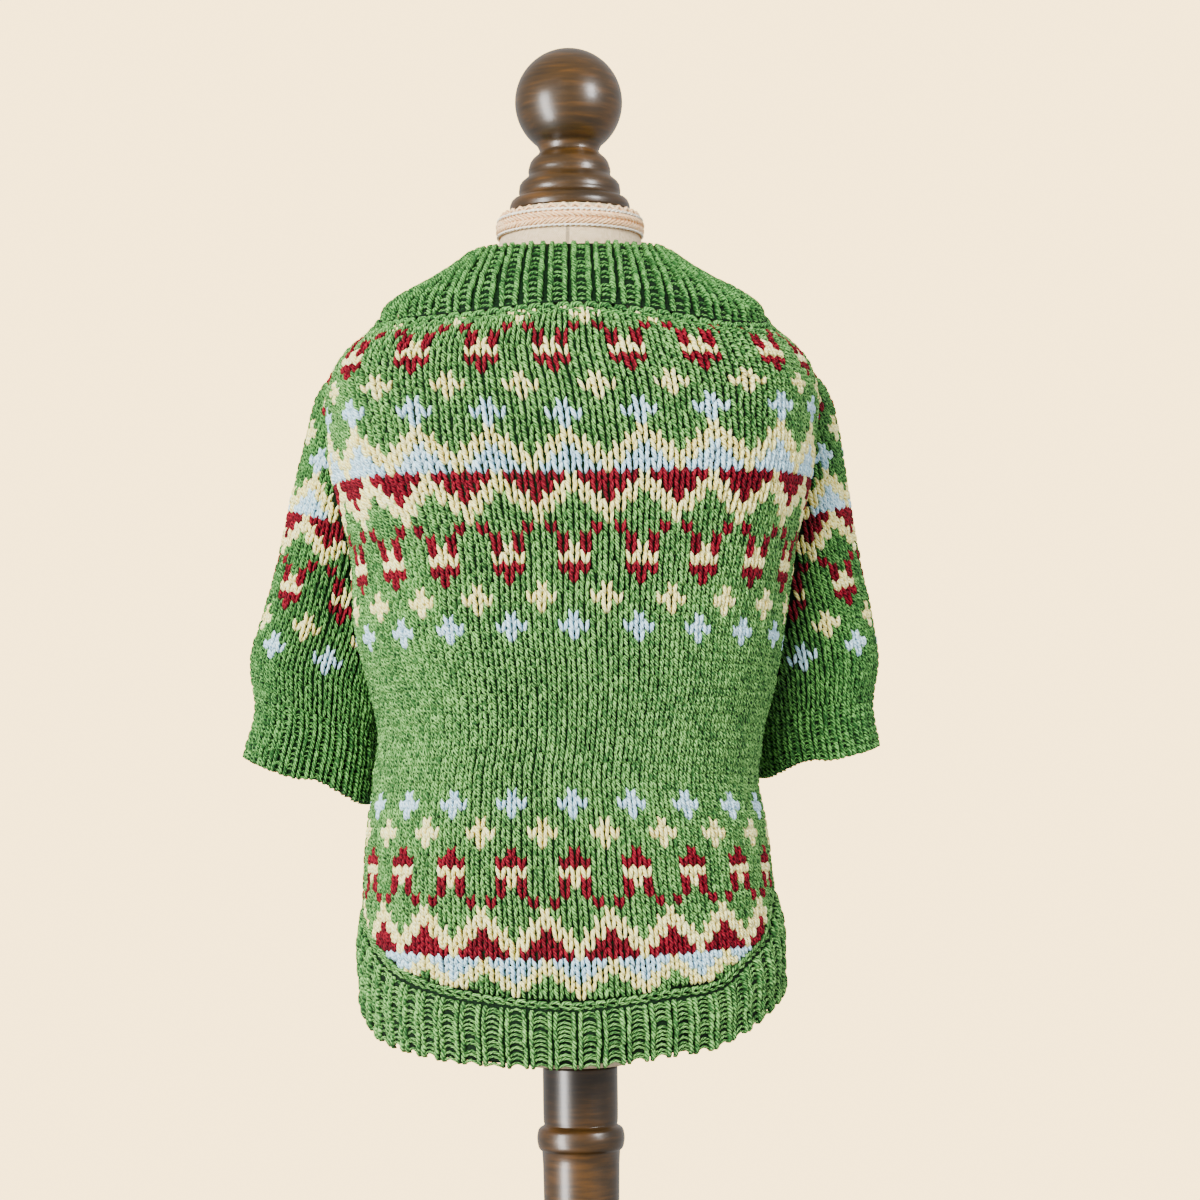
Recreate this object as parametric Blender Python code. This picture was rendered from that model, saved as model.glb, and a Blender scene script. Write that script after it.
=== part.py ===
"""Fair isle sweater for a small pet, worn by a limbless dress form on a turned wooden stand.

Metres, +Z up. The origin is the middle of the foot's underside, and the side with the long curved
hem faces -Y. Angles round the body start at -Y and grow towards +X. Every cloth piece is a wall
between an outer surface and a plain inner one, and pieces that are sewn together stay a seam's gap
apart. Tables are in millimetres and degrees.
"""

import math

import bmesh
import bpy
import numpy as np
from mathutils import Vector

MM = 0.001

# Driving sizes, in millimetres
SEAM_GAP = 0.35
SLEEVE_CLEARANCE = 0.95
PANEL_WALL = 2.2
RIB_WALL = 2.8
RIB_RELIEF = 1.1
SIDE_SEAM_ANGLE = 101.0
NECK_RADIUS = 21.6
NECK_TOP_Z = 397.3
FORM_BOTTOM_Z = 141.5
HEM_FLARE = 0.035
HEM_FLARE_REACH = 0.75

# Knit ribs in each band
COLLAR_RIBS = 54
HEM_RIBS = 46
CUFF_RIBS = 30

# The knitted body from the neck seam down: each row is a level section
BODY_COLUMNS = ("z", "half_width", "half_depth", "centre_x")
BODY_ROWS = (
    (372.0, 47.0, 42.0, 0.0),
    (366.0, 55.6, 49.0, 0.0),
    (360.0, 62.8, 53.5, 0.0),
    (355.0, 68.6, 56.8, 0.0),
    (349.0, 72.4, 58.8, 0.0),
    (340.0, 74.3, 60.0, 0.0),
    (325.0, 73.5, 60.0, -0.3),
    (311.0, 70.9, 59.2, -0.2),
    (296.0, 67.3, 57.8, -0.3),
    (271.0, 64.6, 55.6, -1.5),
    (254.0, 61.0, 54.0, -1.0),
    (238.0, 57.8, 52.5, -1.8),
    (226.0, 58.0, 51.7, -3.3),
    (213.0, 60.1, 51.2, -3.1),
    (200.0, 61.3, 51.0, -3.0),
    (180.0, 62.4, 50.4, -2.2),
    (140.0, 63.0, 49.5, -1.5),
)

# The seams round the body: heights by the angle from the middle of the shown side
COLLAR_SEAM_COLUMNS = ("angle", "z")
COLLAR_SEAM_ROWS = (
    (-180.0, 365.0),
    (-120.0, 365.5),
    (-90.0, 365.2),
    (-60.0, 361.0),
    (-30.0, 360.3),
    (0.0, 362.0),
    (20.0, 360.5),
    (42.0, 357.6),
    (60.0, 359.0),
    (90.0, 365.0),
    (120.0, 365.5),
    (180.0, 365.0),
)
HEM_COLUMNS = ("angle", "z", "height")
HEM_ROWS = (
    (-180.0, 207.0, 22.0),
    (-150.0, 205.8, 22.5),
    (-120.0, 203.4, 25.5),
    (-101.0, 198.0, 30.0),
    (-90.0, 191.5, 28.0),
    (-75.0, 184.0, 27.0),
    (-65.0, 178.6, 25.8),
    (-56.0, 174.0, 23.5),
    (-48.5, 171.3, 22.0),
    (-34.0, 167.7, 20.5),
    (-18.0, 165.3, 19.3),
    (0.0, 163.8, 18.4),
    (28.0, 166.6, 18.3),
    (38.0, 167.4, 18.2),
    (45.0, 169.3, 18.1),
    (50.0, 172.4, 19.6),
    (56.0, 176.0, 21.0),
    (67.0, 181.2, 22.0),
    (71.0, 185.4, 25.1),
    (77.0, 191.0, 29.5),
    (90.0, 196.6, 31.6),
    (101.0, 198.0, 30.0),
    (120.0, 203.4, 25.5),
    (150.0, 205.8, 22.5),
    (180.0, 207.0, 22.0),
)

# The collar from its seam up to the neck: how far in and how far up it has gone
COLLAR_COLUMNS = ("along", "inward", "upward")
COLLAR_ROWS = (
    (0.0, 0.0, 0.0),
    (0.2, 0.04, 0.19),
    (0.4, 0.22, 0.42),
    (0.7, 0.60, 0.72),
    (1.0, 1.0, 1.0),
)
COLLAR_TOP_HALF_WIDTH = 33.5
COLLAR_TOP_HALF_DEPTH = 25.0
COLLAR_TOP_COLUMNS = ("angle", "z")
COLLAR_TOP_ROWS = ((0.0, 383.6), (45.0, 384.8), (90.0, 382.8), (180.0, 383.6))
# Ribs stand wider apart at the front of the neck than behind it
COLLAR_TOP_CROWDING = 0.3
COLLAR_TOP_SECOND_CROWDING = 0.05

# The sleeves down from inside the shoulder: the point furthest out, and the slope of the ring there
SLEEVE_COLUMNS = ("outer_x", "outer_z", "tilt", "half_width", "centre_y", "half_depth")
SLEEVE_ROWS = {
    "left": (
        (60.0, 357.0, 66.0, 22.0, 22.0, 18.0),
        (69.0, 355.4, 58.0, 22.0, 23.0, 18.5),
        (75.6, 351.2, 46.0, 22.0, 24.0, 19.0),
        (79.6, 345.4, 32.0, 22.0, 25.0, 19.5),
        (83.6, 331.0, 20.0, 22.0, 26.0, 20.0),
        (88.0, 313.9, 17.0, 22.0, 26.5, 20.0),
        (92.2, 295.4, 17.0, 22.0, 27.0, 20.0),
        (96.2, 281.0, 17.0, 22.0, 27.5, 20.0),
        (101.0, 264.0, 17.0, 22.0, 28.0, 20.0),
        (99.8, 250.8, 18.0, 20.4, 28.0, 19.0),
        (103.7, 236.0, 19.0, 21.5, 28.0, 20.0),
    ),
    "right": (
        (60.0, 357.0, 66.0, 22.0, 22.0, 18.0),
        (70.0, 355.2, 58.0, 22.0, 23.0, 18.5),
        (75.8, 350.4, 46.0, 22.0, 24.0, 19.0),
        (79.8, 344.4, 32.0, 22.0, 25.0, 19.5),
        (83.0, 330.5, 20.0, 22.0, 26.0, 20.0),
        (85.4, 314.0, 16.0, 22.0, 26.5, 20.0),
        (88.4, 294.0, 15.0, 22.0, 27.0, 20.0),
        (91.6, 278.5, 15.0, 22.0, 27.5, 20.0),
        (93.7, 263.0, 14.0, 21.5, 28.0, 20.0),
        (92.0, 249.0, 13.0, 19.6, 28.0, 19.0),
        (94.0, 237.0, 12.0, 20.0, 28.0, 20.0),
    ),
}
SLEEVE_END = float(len(SLEEVE_ROWS["left"]) - 1)
CUFF_START = SLEEVE_END - 1.25

# The armholes are scooped out of the belly panel's edges
ARMHOLE_LOW_Z = 287.0
ARMHOLE_HIGH_Z = 337.0
ARMHOLE_SCOOP_ANGLE = 30.0

# The linen form: its gap to the cloth at each height, and its own neck and underside
FORM_GAP_COLUMNS = ("z", "gap")
FORM_GAP_ROWS = (
    (356.0, 2.3),
    (349.0, 1.4),
    (340.0, 1.1),
    (325.0, 1.6),
    (296.0, 2.0),
    (238.0, 2.2),
    (213.0, 4.5),
    (190.0, 8.5),
    (160.0, 10.5),
)
# Rings of the form under the collar and the hem: z, half width and half depth
FORM_NECK_ROWS = (
    (NECK_TOP_Z, 18.2, 18.2),
    (391.0, 20.4, 20.4),
    (388.0, NECK_RADIUS, NECK_RADIUS),
    (379.0, 22.8, 22.4),
    (372.0, 28.0, 26.0),
    (366.0, 41.0, 36.5),
    (361.0, 54.0, 46.5),
)
FORM_LOW_ROWS = (
    (152.0, 45.0, 35.0),
    (147.5, 38.0, 30.0),
    (144.0, 30.0, 25.0),
    (142.0, 22.0, 19.0),
    (FORM_BOTTOM_Z, 17.0, 15.0),
)

FORM_LOW_CENTRE_X = -1.0

# Heights of the form's rings under the cloth
FORM_HEIGHTS = (355.0, 349.0, 343.0, 333.0, 318.0, 300.0, 275.0, 250.0, 232.0, 213.0, 190.0, 165.0)

# Rings of the braid: z and radius
TRIM_OUTER_ROWS = ((390.6, 22.6), (393.0, 22.6), (396.4, 21.2), (399.2, 19.9))
TRIM_INNER_ROWS = ((399.2, 18.7), (390.6, 21.0))
TRIM_PICOTS = 36
PICOT_RISE = 1.0

# Turned outlines, from the axis at the foot of each piece up to the axis at its head
FINIAL_TIERS = (
    (17.9, 397.65),
    (18.2, 399.2),
    (17.4, 401.2),
    (15.0, 402.3),
    (15.4, 403.6),
    (15.0, 406.2),
    (12.2, 408.6),
    (12.5, 410.2),
    (11.6, 413.2),
    (8.7, 415.8),
)
BALL_RADIUS = 16.2
BALL_CENTRE_Z = 431.0
BALL_STEPS = 12
POLE_ROWS = (
    (11.2, 18.35),
    (11.2, 113.6),
    (11.9, 114.4),
    (11.6, 115.6),
    (12.7, 116.9),
    (13.2, 119.8),
    (12.7, 122.7),
    (11.2, 123.9),
    (11.2, 141.15),
)
BASE_ROWS = (
    (86.0, 0.0),
    (88.0, 1.6),
    (88.0, 7.0),
    (85.5, 10.0),
    (83.5, 11.0),
    (82.0, 14.0),
    (78.0, 16.2),
    (30.0, 17.2),
    (17.0, 18.0),
)

# Grid sizes, and how far along each band its rings lie
PANEL_HEIGHTS_BELOW_ARMHOLE = (216.0, 232.0, 252.0, 272.0)
PANEL_HEIGHTS_ABOVE_ARMHOLE = (343.0, 349.0, 355.0, 360.0)
HEM_STOPS = (0.0, 0.45, 1.0)
COLLAR_OUTER_STOPS = (0.0, 0.22, 0.45, 0.72, 1.0)
COLLAR_INNER_STOPS = (0.0, 0.3, 1.0)
CUFF_STOPS = (CUFF_START, CUFF_START + 0.6, SLEEVE_END)
SLEEVE_LINE_STEP = 0.02
SLEEVE_SEAM = 0.03
CROWN_ANGLE = 0.06
SHARP_ANGLE = 40.0
PANEL_COLUMNS = 25
ARMHOLE_STEPS = 6
SLEEVE_ROUND = 24
SLEEVE_STEPS = 8
FORM_ROUND = 36
TURNED_ROUND = 28

FABRIC_ROUGHNESS = 0.9
COLOURS = {
    "green_knit": (0.10, 0.28, 0.09, 1.0),
    "linen": (0.72, 0.66, 0.55, 1.0),
    "braid": (0.82, 0.66, 0.52, 1.0),
    "walnut": (0.09, 0.04, 0.02, 1.0),
}


def column(rows, columns, name):
    """One named column of a table, as an array."""
    return np.array([row[columns.index(name)] for row in rows], float)


def smooth(xs, ys, at):
    """A smooth curve through the points of a table, with no overshoot between them."""
    if xs[0] > xs[-1]:
        xs = xs[::-1]
        ys = ys[::-1]
    at = min(max(at, xs[0]), xs[-1])
    steps = np.diff(xs)
    slopes = np.diff(ys) / steps
    tangents = np.zeros(len(xs))
    tangents[0] = slopes[0]
    tangents[-1] = slopes[-1]
    for i in range(1, len(xs) - 1):
        if slopes[i - 1] * slopes[i] > 0.0:
            tangents[i] = 2.0 * slopes[i - 1] * slopes[i] / (slopes[i - 1] + slopes[i])
    k = min(int(np.searchsorted(xs, at, side="right")) - 1, len(steps) - 1)
    t = (at - xs[k]) / steps[k]
    start = (1 + 2 * t) * (1 - t) ** 2 * ys[k] + t * (1 - t) ** 2 * steps[k] * tangents[k]
    end = t * t * (3 - 2 * t) * ys[k + 1] + t * t * (t - 1) * steps[k] * tangents[k + 1]
    return float(start + end)


def looked_up(rows, columns, key, name, at):
    """A table's named column, smoothed, at a value of its key column."""
    return smooth(column(rows, columns, key), column(rows, columns, name), at)


def body_section(z):
    """Half width, half depth and centre of the body at a height."""
    return [looked_up(BODY_ROWS, BODY_COLUMNS, "z", name, z) for name in BODY_COLUMNS[1:]]


def body_surface(angle, z):
    """A point on the outside of the knitted body."""
    half_width, half_depth, centre_x = body_section(z)
    turn = math.radians(angle)
    return Vector((centre_x + half_width * math.sin(turn), -half_depth * math.cos(turn), z))


def wrapped(angle):
    """The same angle between -180 and 180."""
    return (angle + 180.0) % 360.0 - 180.0


def collar_seam_z(angle):
    return looked_up(COLLAR_SEAM_ROWS, COLLAR_SEAM_COLUMNS, "angle", "z", wrapped(angle))


def hem_seam_z(angle):
    return looked_up(HEM_ROWS, HEM_COLUMNS, "angle", "z", wrapped(angle))


def hem_height(angle):
    return looked_up(HEM_ROWS, HEM_COLUMNS, "angle", "height", wrapped(angle))


def panel_surface(angle, along):
    """The body between its two seams: along is 0 at the hem seam and 1 at the collar seam."""
    low = hem_seam_z(angle)
    high = collar_seam_z(angle)
    return body_surface(angle, low + (high - low) * along)


def hem_surface(angle, along):
    """The hem band, from its seam at 0 down to its edge at 1, with a slight flare."""
    seam = hem_seam_z(angle) - SEAM_GAP
    height = hem_height(angle)
    point = body_surface(angle, seam - height * along)
    flare = 1.0 + HEM_FLARE * math.sin(math.pi * min(along, HEM_FLARE_REACH))
    return Vector((point.x * flare, point.y * flare, point.z))


def collar_surface(angle, along):
    """The collar, from its seam at 0 to the neck edge at 1. The angle is that of the seam."""
    seam = body_surface(angle, collar_seam_z(angle))
    seam.z += SEAM_GAP
    turn = math.radians(wrapped(angle))
    top_turn = turn + COLLAR_TOP_CROWDING * math.sin(turn)
    top_turn += COLLAR_TOP_SECOND_CROWDING * math.sin(2.0 * turn)
    top_angle = abs(math.degrees(top_turn))
    top_z = looked_up(COLLAR_TOP_ROWS, COLLAR_TOP_COLUMNS, "angle", "z", top_angle)
    top = Vector(
        (
            COLLAR_TOP_HALF_WIDTH * math.sin(top_turn),
            -COLLAR_TOP_HALF_DEPTH * math.cos(top_turn),
            top_z,
        )
    )
    inward = looked_up(COLLAR_ROWS, COLLAR_COLUMNS, "along", "inward", along)
    upward = looked_up(COLLAR_ROWS, COLLAR_COLUMNS, "along", "upward", along)
    return Vector(
        (
            seam.x + (top.x - seam.x) * inward,
            seam.y + (top.y - seam.y) * inward,
            seam.z + (top.z - seam.z) * upward,
        )
    )


def sleeve_surface(side, turn, station):
    """The sleeve tube: turn is 0 at its outer line and 90 at its front, station a row of its table."""
    rows = SLEEVE_ROWS[side]
    stations = np.arange(len(rows), dtype=float)
    place = {
        name: smooth(stations, column(rows, SLEEVE_COLUMNS, name), station) for name in SLEEVE_COLUMNS
    }
    tilt = math.radians(place["tilt"])
    across = Vector((math.cos(tilt), 0.0, math.sin(tilt))) * place["half_width"]
    centre = Vector((place["outer_x"], place["centre_y"], place["outer_z"])) - across
    angle = math.radians(turn)
    front = Vector((0.0, -place["half_depth"], 0.0))
    point = centre + across * math.cos(angle) + front * math.sin(angle)
    if side == "left":
        point.x = -point.x
    return point


def moved_out(surface, u, v, distance, step_u=0.5, step_v=0.01):
    """A surface's point moved out of the cloth by a distance, along the surface's normal."""
    point = surface(u, v)
    if distance == 0.0:
        return point
    along_u = surface(u + step_u, v) - surface(u - step_u, v)
    along_v = surface(u, v + step_v) - surface(u, v - step_v)
    normal = along_u.cross(along_v).normalized()
    if normal.dot(Vector((point.x, point.y, 0.0))) < 0.0:
        normal = -normal
    return point + normal * distance


def mesh_object(name, points, faces, colour):
    """An object of its own from points in millimetres, with its own material."""
    mesh = bpy.data.meshes.new(name)
    shape = bmesh.new()
    verts = [shape.verts.new(Vector(point) * MM) for point in points]
    for face in faces:
        shape.faces.new([verts[i] for i in face])
    bmesh.ops.recalc_face_normals(shape, faces=shape.faces)
    shape.to_mesh(mesh)
    shape.free()
    made = bpy.data.objects.new(name, mesh)
    bpy.context.scene.collection.objects.link(made)
    mesh.shade_smooth()
    mesh.set_sharp_from_angle(angle=math.radians(SHARP_ANGLE))
    mesh.materials.append(material(name, colour))
    return made


def material(name, colour):
    made = bpy.data.materials.new(name)
    made.use_nodes = True
    shader = made.node_tree.nodes["Principled BSDF"]
    shader.inputs["Base Color"].default_value = COLOURS[colour]
    shader.inputs["Metallic"].default_value = 0.0
    shader.inputs["Roughness"].default_value = 0.35 if colour == "walnut" else FABRIC_ROUGHNESS
    return made


def tube_faces(rings, around):
    """Faces of a closed tube wall, whose rings run round its whole section, last to first."""
    faces = []
    for i in range(rings):
        for j in range(around):
            here = i * around + j
            right = i * around + (j + 1) % around
            above = ((i + 1) % rings) * around + j
            above_right = ((i + 1) % rings) * around + (j + 1) % around
            faces.append((here, right, above_right, above))
    return faces


def tube_wall(name, outer_rings, inner_rings, colour):
    """A tube with a wall: outer rings in one direction and inner rings back again."""
    rings = outer_rings + inner_rings[::-1]
    around = len(rings[0])
    points = [point for ring in rings for point in ring]
    return mesh_object(name, points, tube_faces(len(rings), around), colour)


def sheet_wall(name, outer, inner, colour):
    """An open sheet with a wall: two grids of the same size, joined round their edge."""
    rows = len(outer)
    across = len(outer[0])
    points = [point for row in outer for point in row] + [point for row in inner for point in row]
    back = rows * across
    faces = []
    for i in range(rows - 1):
        for j in range(across - 1):
            here = i * across + j
            faces.append((here, here + 1, here + across + 1, here + across))
            faces.append((back + here, back + here + across, back + here + across + 1, back + here + 1))
    edge = [j for j in range(across)]
    edge += [i * across + across - 1 for i in range(1, rows)]
    edge += [(rows - 1) * across + j for j in range(across - 2, -1, -1)]
    edge += [i * across for i in range(rows - 2, 0, -1)]
    for here, there in zip(edge, edge[1:] + edge[:1]):
        faces.append((here, back + here, back + there, there))
    return mesh_object(name, points, faces, colour)


def closed_stack(name, rings, colour):
    """A solid through level rings, closed by a flat face at each end."""
    around = len(rings[0])
    points = [point for ring in rings for point in ring]
    faces = []
    for i in range(len(rings) - 1):
        for j in range(around):
            right = (j + 1) % around
            faces.append((i * around + j, i * around + right, (i + 1) * around + right, (i + 1) * around + j))
    faces.append(tuple(range(around)))
    faces.append(tuple((len(rings) - 1) * around + j for j in range(around)))
    return mesh_object(name, points, faces, colour)


# Places across one rib, as a part of its width, and whether the point is on the raised stitch
RIB_ROWS = ((0.06, 1.0), (0.50, 1.0), (0.78, 0.0))


def rib_places(count):
    """Places round a ribbed band, from 0 to 1, each with how far it is raised."""
    places = []
    for rib in range(count):
        for place, raised in RIB_ROWS:
            places.append(((rib + place) / count, raised))
    return places


def make_panels():
    """The back and belly panels, between the side seams."""
    seam_angle = math.degrees(SEAM_GAP / BODY_ROWS[0][1])
    low = hem_seam_z(SIDE_SEAM_ANGLE)
    high = collar_seam_z(SIDE_SEAM_ANGLE)
    middle = (ARMHOLE_LOW_Z + ARMHOLE_HIGH_Z) / 2.0
    reach = (ARMHOLE_HIGH_Z - ARMHOLE_LOW_Z) / 2.0

    # Rows crowd towards the armholes' ends, so that their edges are smooth
    heights = [low, *PANEL_HEIGHTS_BELOW_ARMHOLE]
    heights += [middle - reach * math.cos(math.pi * k / ARMHOLE_STEPS) for k in range(ARMHOLE_STEPS + 1)]
    heights += [*PANEL_HEIGHTS_ABOVE_ARMHOLE, high]
    alongs = [(z - low) / (high - low) for z in heights]

    def scoop(z):
        across = (z - middle) / reach
        return ARMHOLE_SCOOP_ANGLE * math.sqrt(max(0.0, 1.0 - across * across))

    def make_panel(name, edges):
        outer = []
        inner = []
        for z, along in zip(heights, alongs):
            angles = np.linspace(*edges(z), PANEL_COLUMNS)
            outer.append([panel_surface(a, along) for a in angles])
            inner.append([moved_out(panel_surface, a, along, -PANEL_WALL) for a in angles])
        sheet_wall(name, outer, inner, "green_knit")

    def back_edges(z):
        return -SIDE_SEAM_ANGLE, SIDE_SEAM_ANGLE

    def belly_edges(z):
        start = SIDE_SEAM_ANGLE + seam_angle + scoop(z)
        return start, 360.0 - start

    make_panel("back_panel", back_edges)
    make_panel("belly_panel", belly_edges)


def make_hem():
    """The ribbed hem band, one tube under the curved seam."""
    places = rib_places(HEM_RIBS)
    outer = []
    inner = []
    for along in HEM_STOPS:
        outer.append(
            [moved_out(hem_surface, 360.0 * p, along, (raised - 1.0) * RIB_RELIEF) for p, raised in places]
        )
        inner.append([moved_out(hem_surface, 360.0 * p, along, -RIB_WALL) for p, raised in places])
    tube_wall("hem_rib", outer, inner, "green_knit")


def make_collar():
    """The ribbed collar, rising from its seam in to the neck."""
    places = rib_places(COLLAR_RIBS)
    outer = []
    inner = []
    for along in COLLAR_OUTER_STOPS:
        outer.append(
            [moved_out(collar_surface, 360.0 * p, along, (raised - 1.0) * RIB_RELIEF) for p, raised in places]
        )
    for along in COLLAR_INNER_STOPS:
        inner.append([moved_out(collar_surface, 360.0 * p, along, -RIB_WALL) for p, raised in places])
    tube_wall("collar_rib", outer, inner, "green_knit")


def clear_of_body(point):
    """How far a point lies outside the knitted body, level across."""
    half_width, half_depth, centre_x = body_section(point.z)
    ratio = math.hypot((point.x - centre_x) / half_width, point.y / half_depth)
    return (ratio - 1.0) * min(half_width, half_depth)


def sleeve_line(side, turn, out):
    """The station where a line up the sleeve meets the body, for its outer or its inner surface."""

    def surface(u, v):
        return sleeve_surface(side, u, v)

    steps = np.arange(CUFF_START, 0.0, -SLEEVE_LINE_STEP)
    reached = CUFF_START
    for station in steps:
        point = sleeve_point(surface, turn, station, out)
        if clear_of_body(point) < SLEEVE_CLEARANCE:
            break
        reached = float(station)
    return surface, reached


def sleeve_point(surface, turn, station, out):
    """A point of the sleeve, moved along the line from the tube's axis by a distance out."""
    point = surface(turn, station)
    if out == 0.0:
        return point
    middle = (surface(0.0, station) + surface(180.0, station)) / 2.0
    return point + (point - middle).normalized() * out


def make_sleeve(side):
    """A sleeve between the body's side and the cuff."""
    start = CUFF_START - SLEEVE_SEAM
    outer = [[] for i in range(SLEEVE_STEPS)]
    inner = [[] for i in range(SLEEVE_STEPS)]
    for k in range(SLEEVE_ROUND):
        turn = 360.0 * k / SLEEVE_ROUND
        for rings, out in ((outer, 0.0), (inner, -PANEL_WALL)):
            surface, reached = sleeve_line(side, turn, out)
            for i in range(SLEEVE_STEPS):
                station = start + (reached - start) * i / (SLEEVE_STEPS - 1)
                rings[i].append(sleeve_point(surface, turn, station, out))
    tube_wall("sleeve_" + side, outer, inner, "green_knit")


def make_cuff(side):
    """The ribbed cuff at the end of a sleeve."""

    def surface(u, v):
        return sleeve_surface(side, u, v)

    places = rib_places(CUFF_RIBS)
    outer = []
    inner = []
    for station in CUFF_STOPS:
        outer.append(
            [sleeve_point(surface, 360.0 * p, station, (raised - 1.0) * RIB_RELIEF) for p, raised in places]
        )
        inner.append([sleeve_point(surface, 360.0 * p, station, -RIB_WALL) for p, raised in places])
    tube_wall("cuff_" + side, outer, inner, "green_knit")


def form_section(z):
    """Half width, half depth and centre of the linen form at a height under the cloth."""
    half_width, half_depth, centre_x = body_section(z)
    inside = PANEL_WALL + looked_up(FORM_GAP_ROWS, FORM_GAP_COLUMNS, "z", "gap", z)
    return half_width - inside, half_depth - inside, centre_x


def ellipse_ring(half_width, half_depth, centre_x, z, around):
    """Points round a level ellipse."""
    ring = []
    for k in range(around):
        turn = 2.0 * math.pi * k / around
        ring.append(
            Vector((centre_x + half_width * math.sin(turn), -half_depth * math.cos(turn), z))
        )
    return ring


def make_form():
    """The limbless form: neck, shoulders and trunk, rounded in under the hem."""
    rings = [ellipse_ring(row[1], row[2], 0.0, row[0], FORM_ROUND) for row in FORM_NECK_ROWS]
    for z in FORM_HEIGHTS:
        half_width, half_depth, centre_x = form_section(z)
        rings.append(ellipse_ring(half_width, half_depth, centre_x, z, FORM_ROUND))
    rings += [ellipse_ring(row[1], row[2], FORM_LOW_CENTRE_X, row[0], FORM_ROUND) for row in FORM_LOW_ROWS]
    closed_stack("form_torso", rings, "linen")


def make_trim():
    """The braid round the top of the neck, its upper edge scalloped by picots."""
    around = 2 * TRIM_PICOTS
    outer = []
    inner = []
    for index, (z, radius) in enumerate(TRIM_OUTER_ROWS):
        rise = PICOT_RISE if index == len(TRIM_OUTER_ROWS) - 1 else 0.0
        ring = ellipse_ring(radius, radius, 0.0, z, around)
        for k in range(0, around, 2):
            ring[k].z += rise
        outer.append(ring)
    for index, (z, radius) in enumerate(TRIM_INNER_ROWS):
        rise = PICOT_RISE if index == 0 else 0.0
        ring = ellipse_ring(radius, radius, 0.0, z, around)
        for k in range(0, around, 2):
            ring[k].z += rise
        inner.append(ring)
    tube_wall("neck_trim", outer, inner[::-1], "braid")


def make_turned(name, outline):
    """A turned solid from its outline, foot to head, spun about the axis."""
    rings = [ellipse_ring(radius, radius, 0.0, z, TURNED_ROUND) for radius, z in outline]
    closed_stack(name, rings, "walnut")


def ball_outline():
    """The ball on its neck, up to a small flat at the crown."""
    start = math.acos(-math.sqrt(1.0 - (FINIAL_TIERS[-1][0] / BALL_RADIUS) ** 2))
    outline = []
    for k in range(BALL_STEPS + 1):
        angle = start * (1.0 - k / BALL_STEPS) + CROWN_ANGLE * k / BALL_STEPS
        outline.append(
            (BALL_RADIUS * math.sin(angle), BALL_CENTRE_Z + BALL_RADIUS * math.cos(angle))
        )
    return tuple(outline[1:])


def main():
    for old in list(bpy.data.objects):
        bpy.data.objects.remove(old, do_unlink=True)
    make_panels()
    make_hem()
    make_collar()
    for side in ("left", "right"):
        make_sleeve(side)
        make_cuff(side)
    make_form()
    make_trim()
    make_turned("finial", FINIAL_TIERS + ball_outline())
    make_turned("pole", POLE_ROWS)
    make_turned("base", BASE_ROWS)


main()
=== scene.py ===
"""Looks of the fair isle sweater on its dress form: knitted stitches, rib, braid, linen and wood."""

import math

import bmesh
import bpy
import numpy as np
from mathutils import Matrix, Vector


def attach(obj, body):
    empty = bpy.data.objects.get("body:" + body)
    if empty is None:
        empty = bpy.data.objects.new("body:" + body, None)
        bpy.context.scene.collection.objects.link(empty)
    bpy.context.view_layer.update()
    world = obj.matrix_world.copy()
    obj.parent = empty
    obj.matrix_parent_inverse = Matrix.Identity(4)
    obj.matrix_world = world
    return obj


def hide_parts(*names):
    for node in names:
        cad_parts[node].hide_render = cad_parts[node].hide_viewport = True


MM = 0.001
TAU = 2.0 * math.pi

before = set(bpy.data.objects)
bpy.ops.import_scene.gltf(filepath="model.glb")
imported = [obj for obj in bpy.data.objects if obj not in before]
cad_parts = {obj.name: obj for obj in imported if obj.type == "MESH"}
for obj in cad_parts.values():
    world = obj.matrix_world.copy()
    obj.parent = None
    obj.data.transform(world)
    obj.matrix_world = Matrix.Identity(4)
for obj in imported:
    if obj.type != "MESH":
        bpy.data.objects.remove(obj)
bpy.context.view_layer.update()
rng = np.random.default_rng(7)


# Camera, light and floor

CAMERA_PLACE = (7.3, -900.0, 227.0)
FOCAL_LENGTH = 90.0
CAMERA_ROLL = 0.7
CAMERA_SHIFT_Y = 0.078
CAMERA_PITCH = 1.62


def make_camera():
    data = bpy.data.cameras.new("camera")
    data.lens = FOCAL_LENGTH
    data.sensor_width = 36.0
    data.sensor_fit = "AUTO"
    data.shift_y = CAMERA_SHIFT_Y
    data.clip_start = 0.01
    data.clip_end = 50.0
    camera = bpy.data.objects.new("camera", data)
    bpy.context.scene.collection.objects.link(camera)
    camera.location = Vector(CAMERA_PLACE) * MM
    look = Matrix.Rotation(math.radians(90.0 + CAMERA_PITCH), 4, "X")
    roll = Matrix.Rotation(math.radians(-CAMERA_ROLL), 4, "Z")
    camera.rotation_euler = (look @ roll).to_euler()
    bpy.context.scene.camera = camera


def make_light(name, place, aim, size, power, colour, seen_in="everything"):
    """An area light. Seen in "diffuse" it leaves no highlight, and seen in "gloss" it is only a highlight."""
    data = bpy.data.lights.new(name, "AREA")
    data.shape = "RECTANGLE"
    data.size = size[0]
    data.size_y = size[1]
    data.energy = power
    data.color = colour
    lamp = bpy.data.objects.new(name, data)
    bpy.context.scene.collection.objects.link(lamp)
    lamp.location = place
    lamp.rotation_euler = (Vector(aim) - Vector(place)).to_track_quat("-Z", "Y").to_euler()
    lamp.visible_glossy = seen_in != "diffuse"
    lamp.visible_diffuse = seen_in != "gloss"


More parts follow.
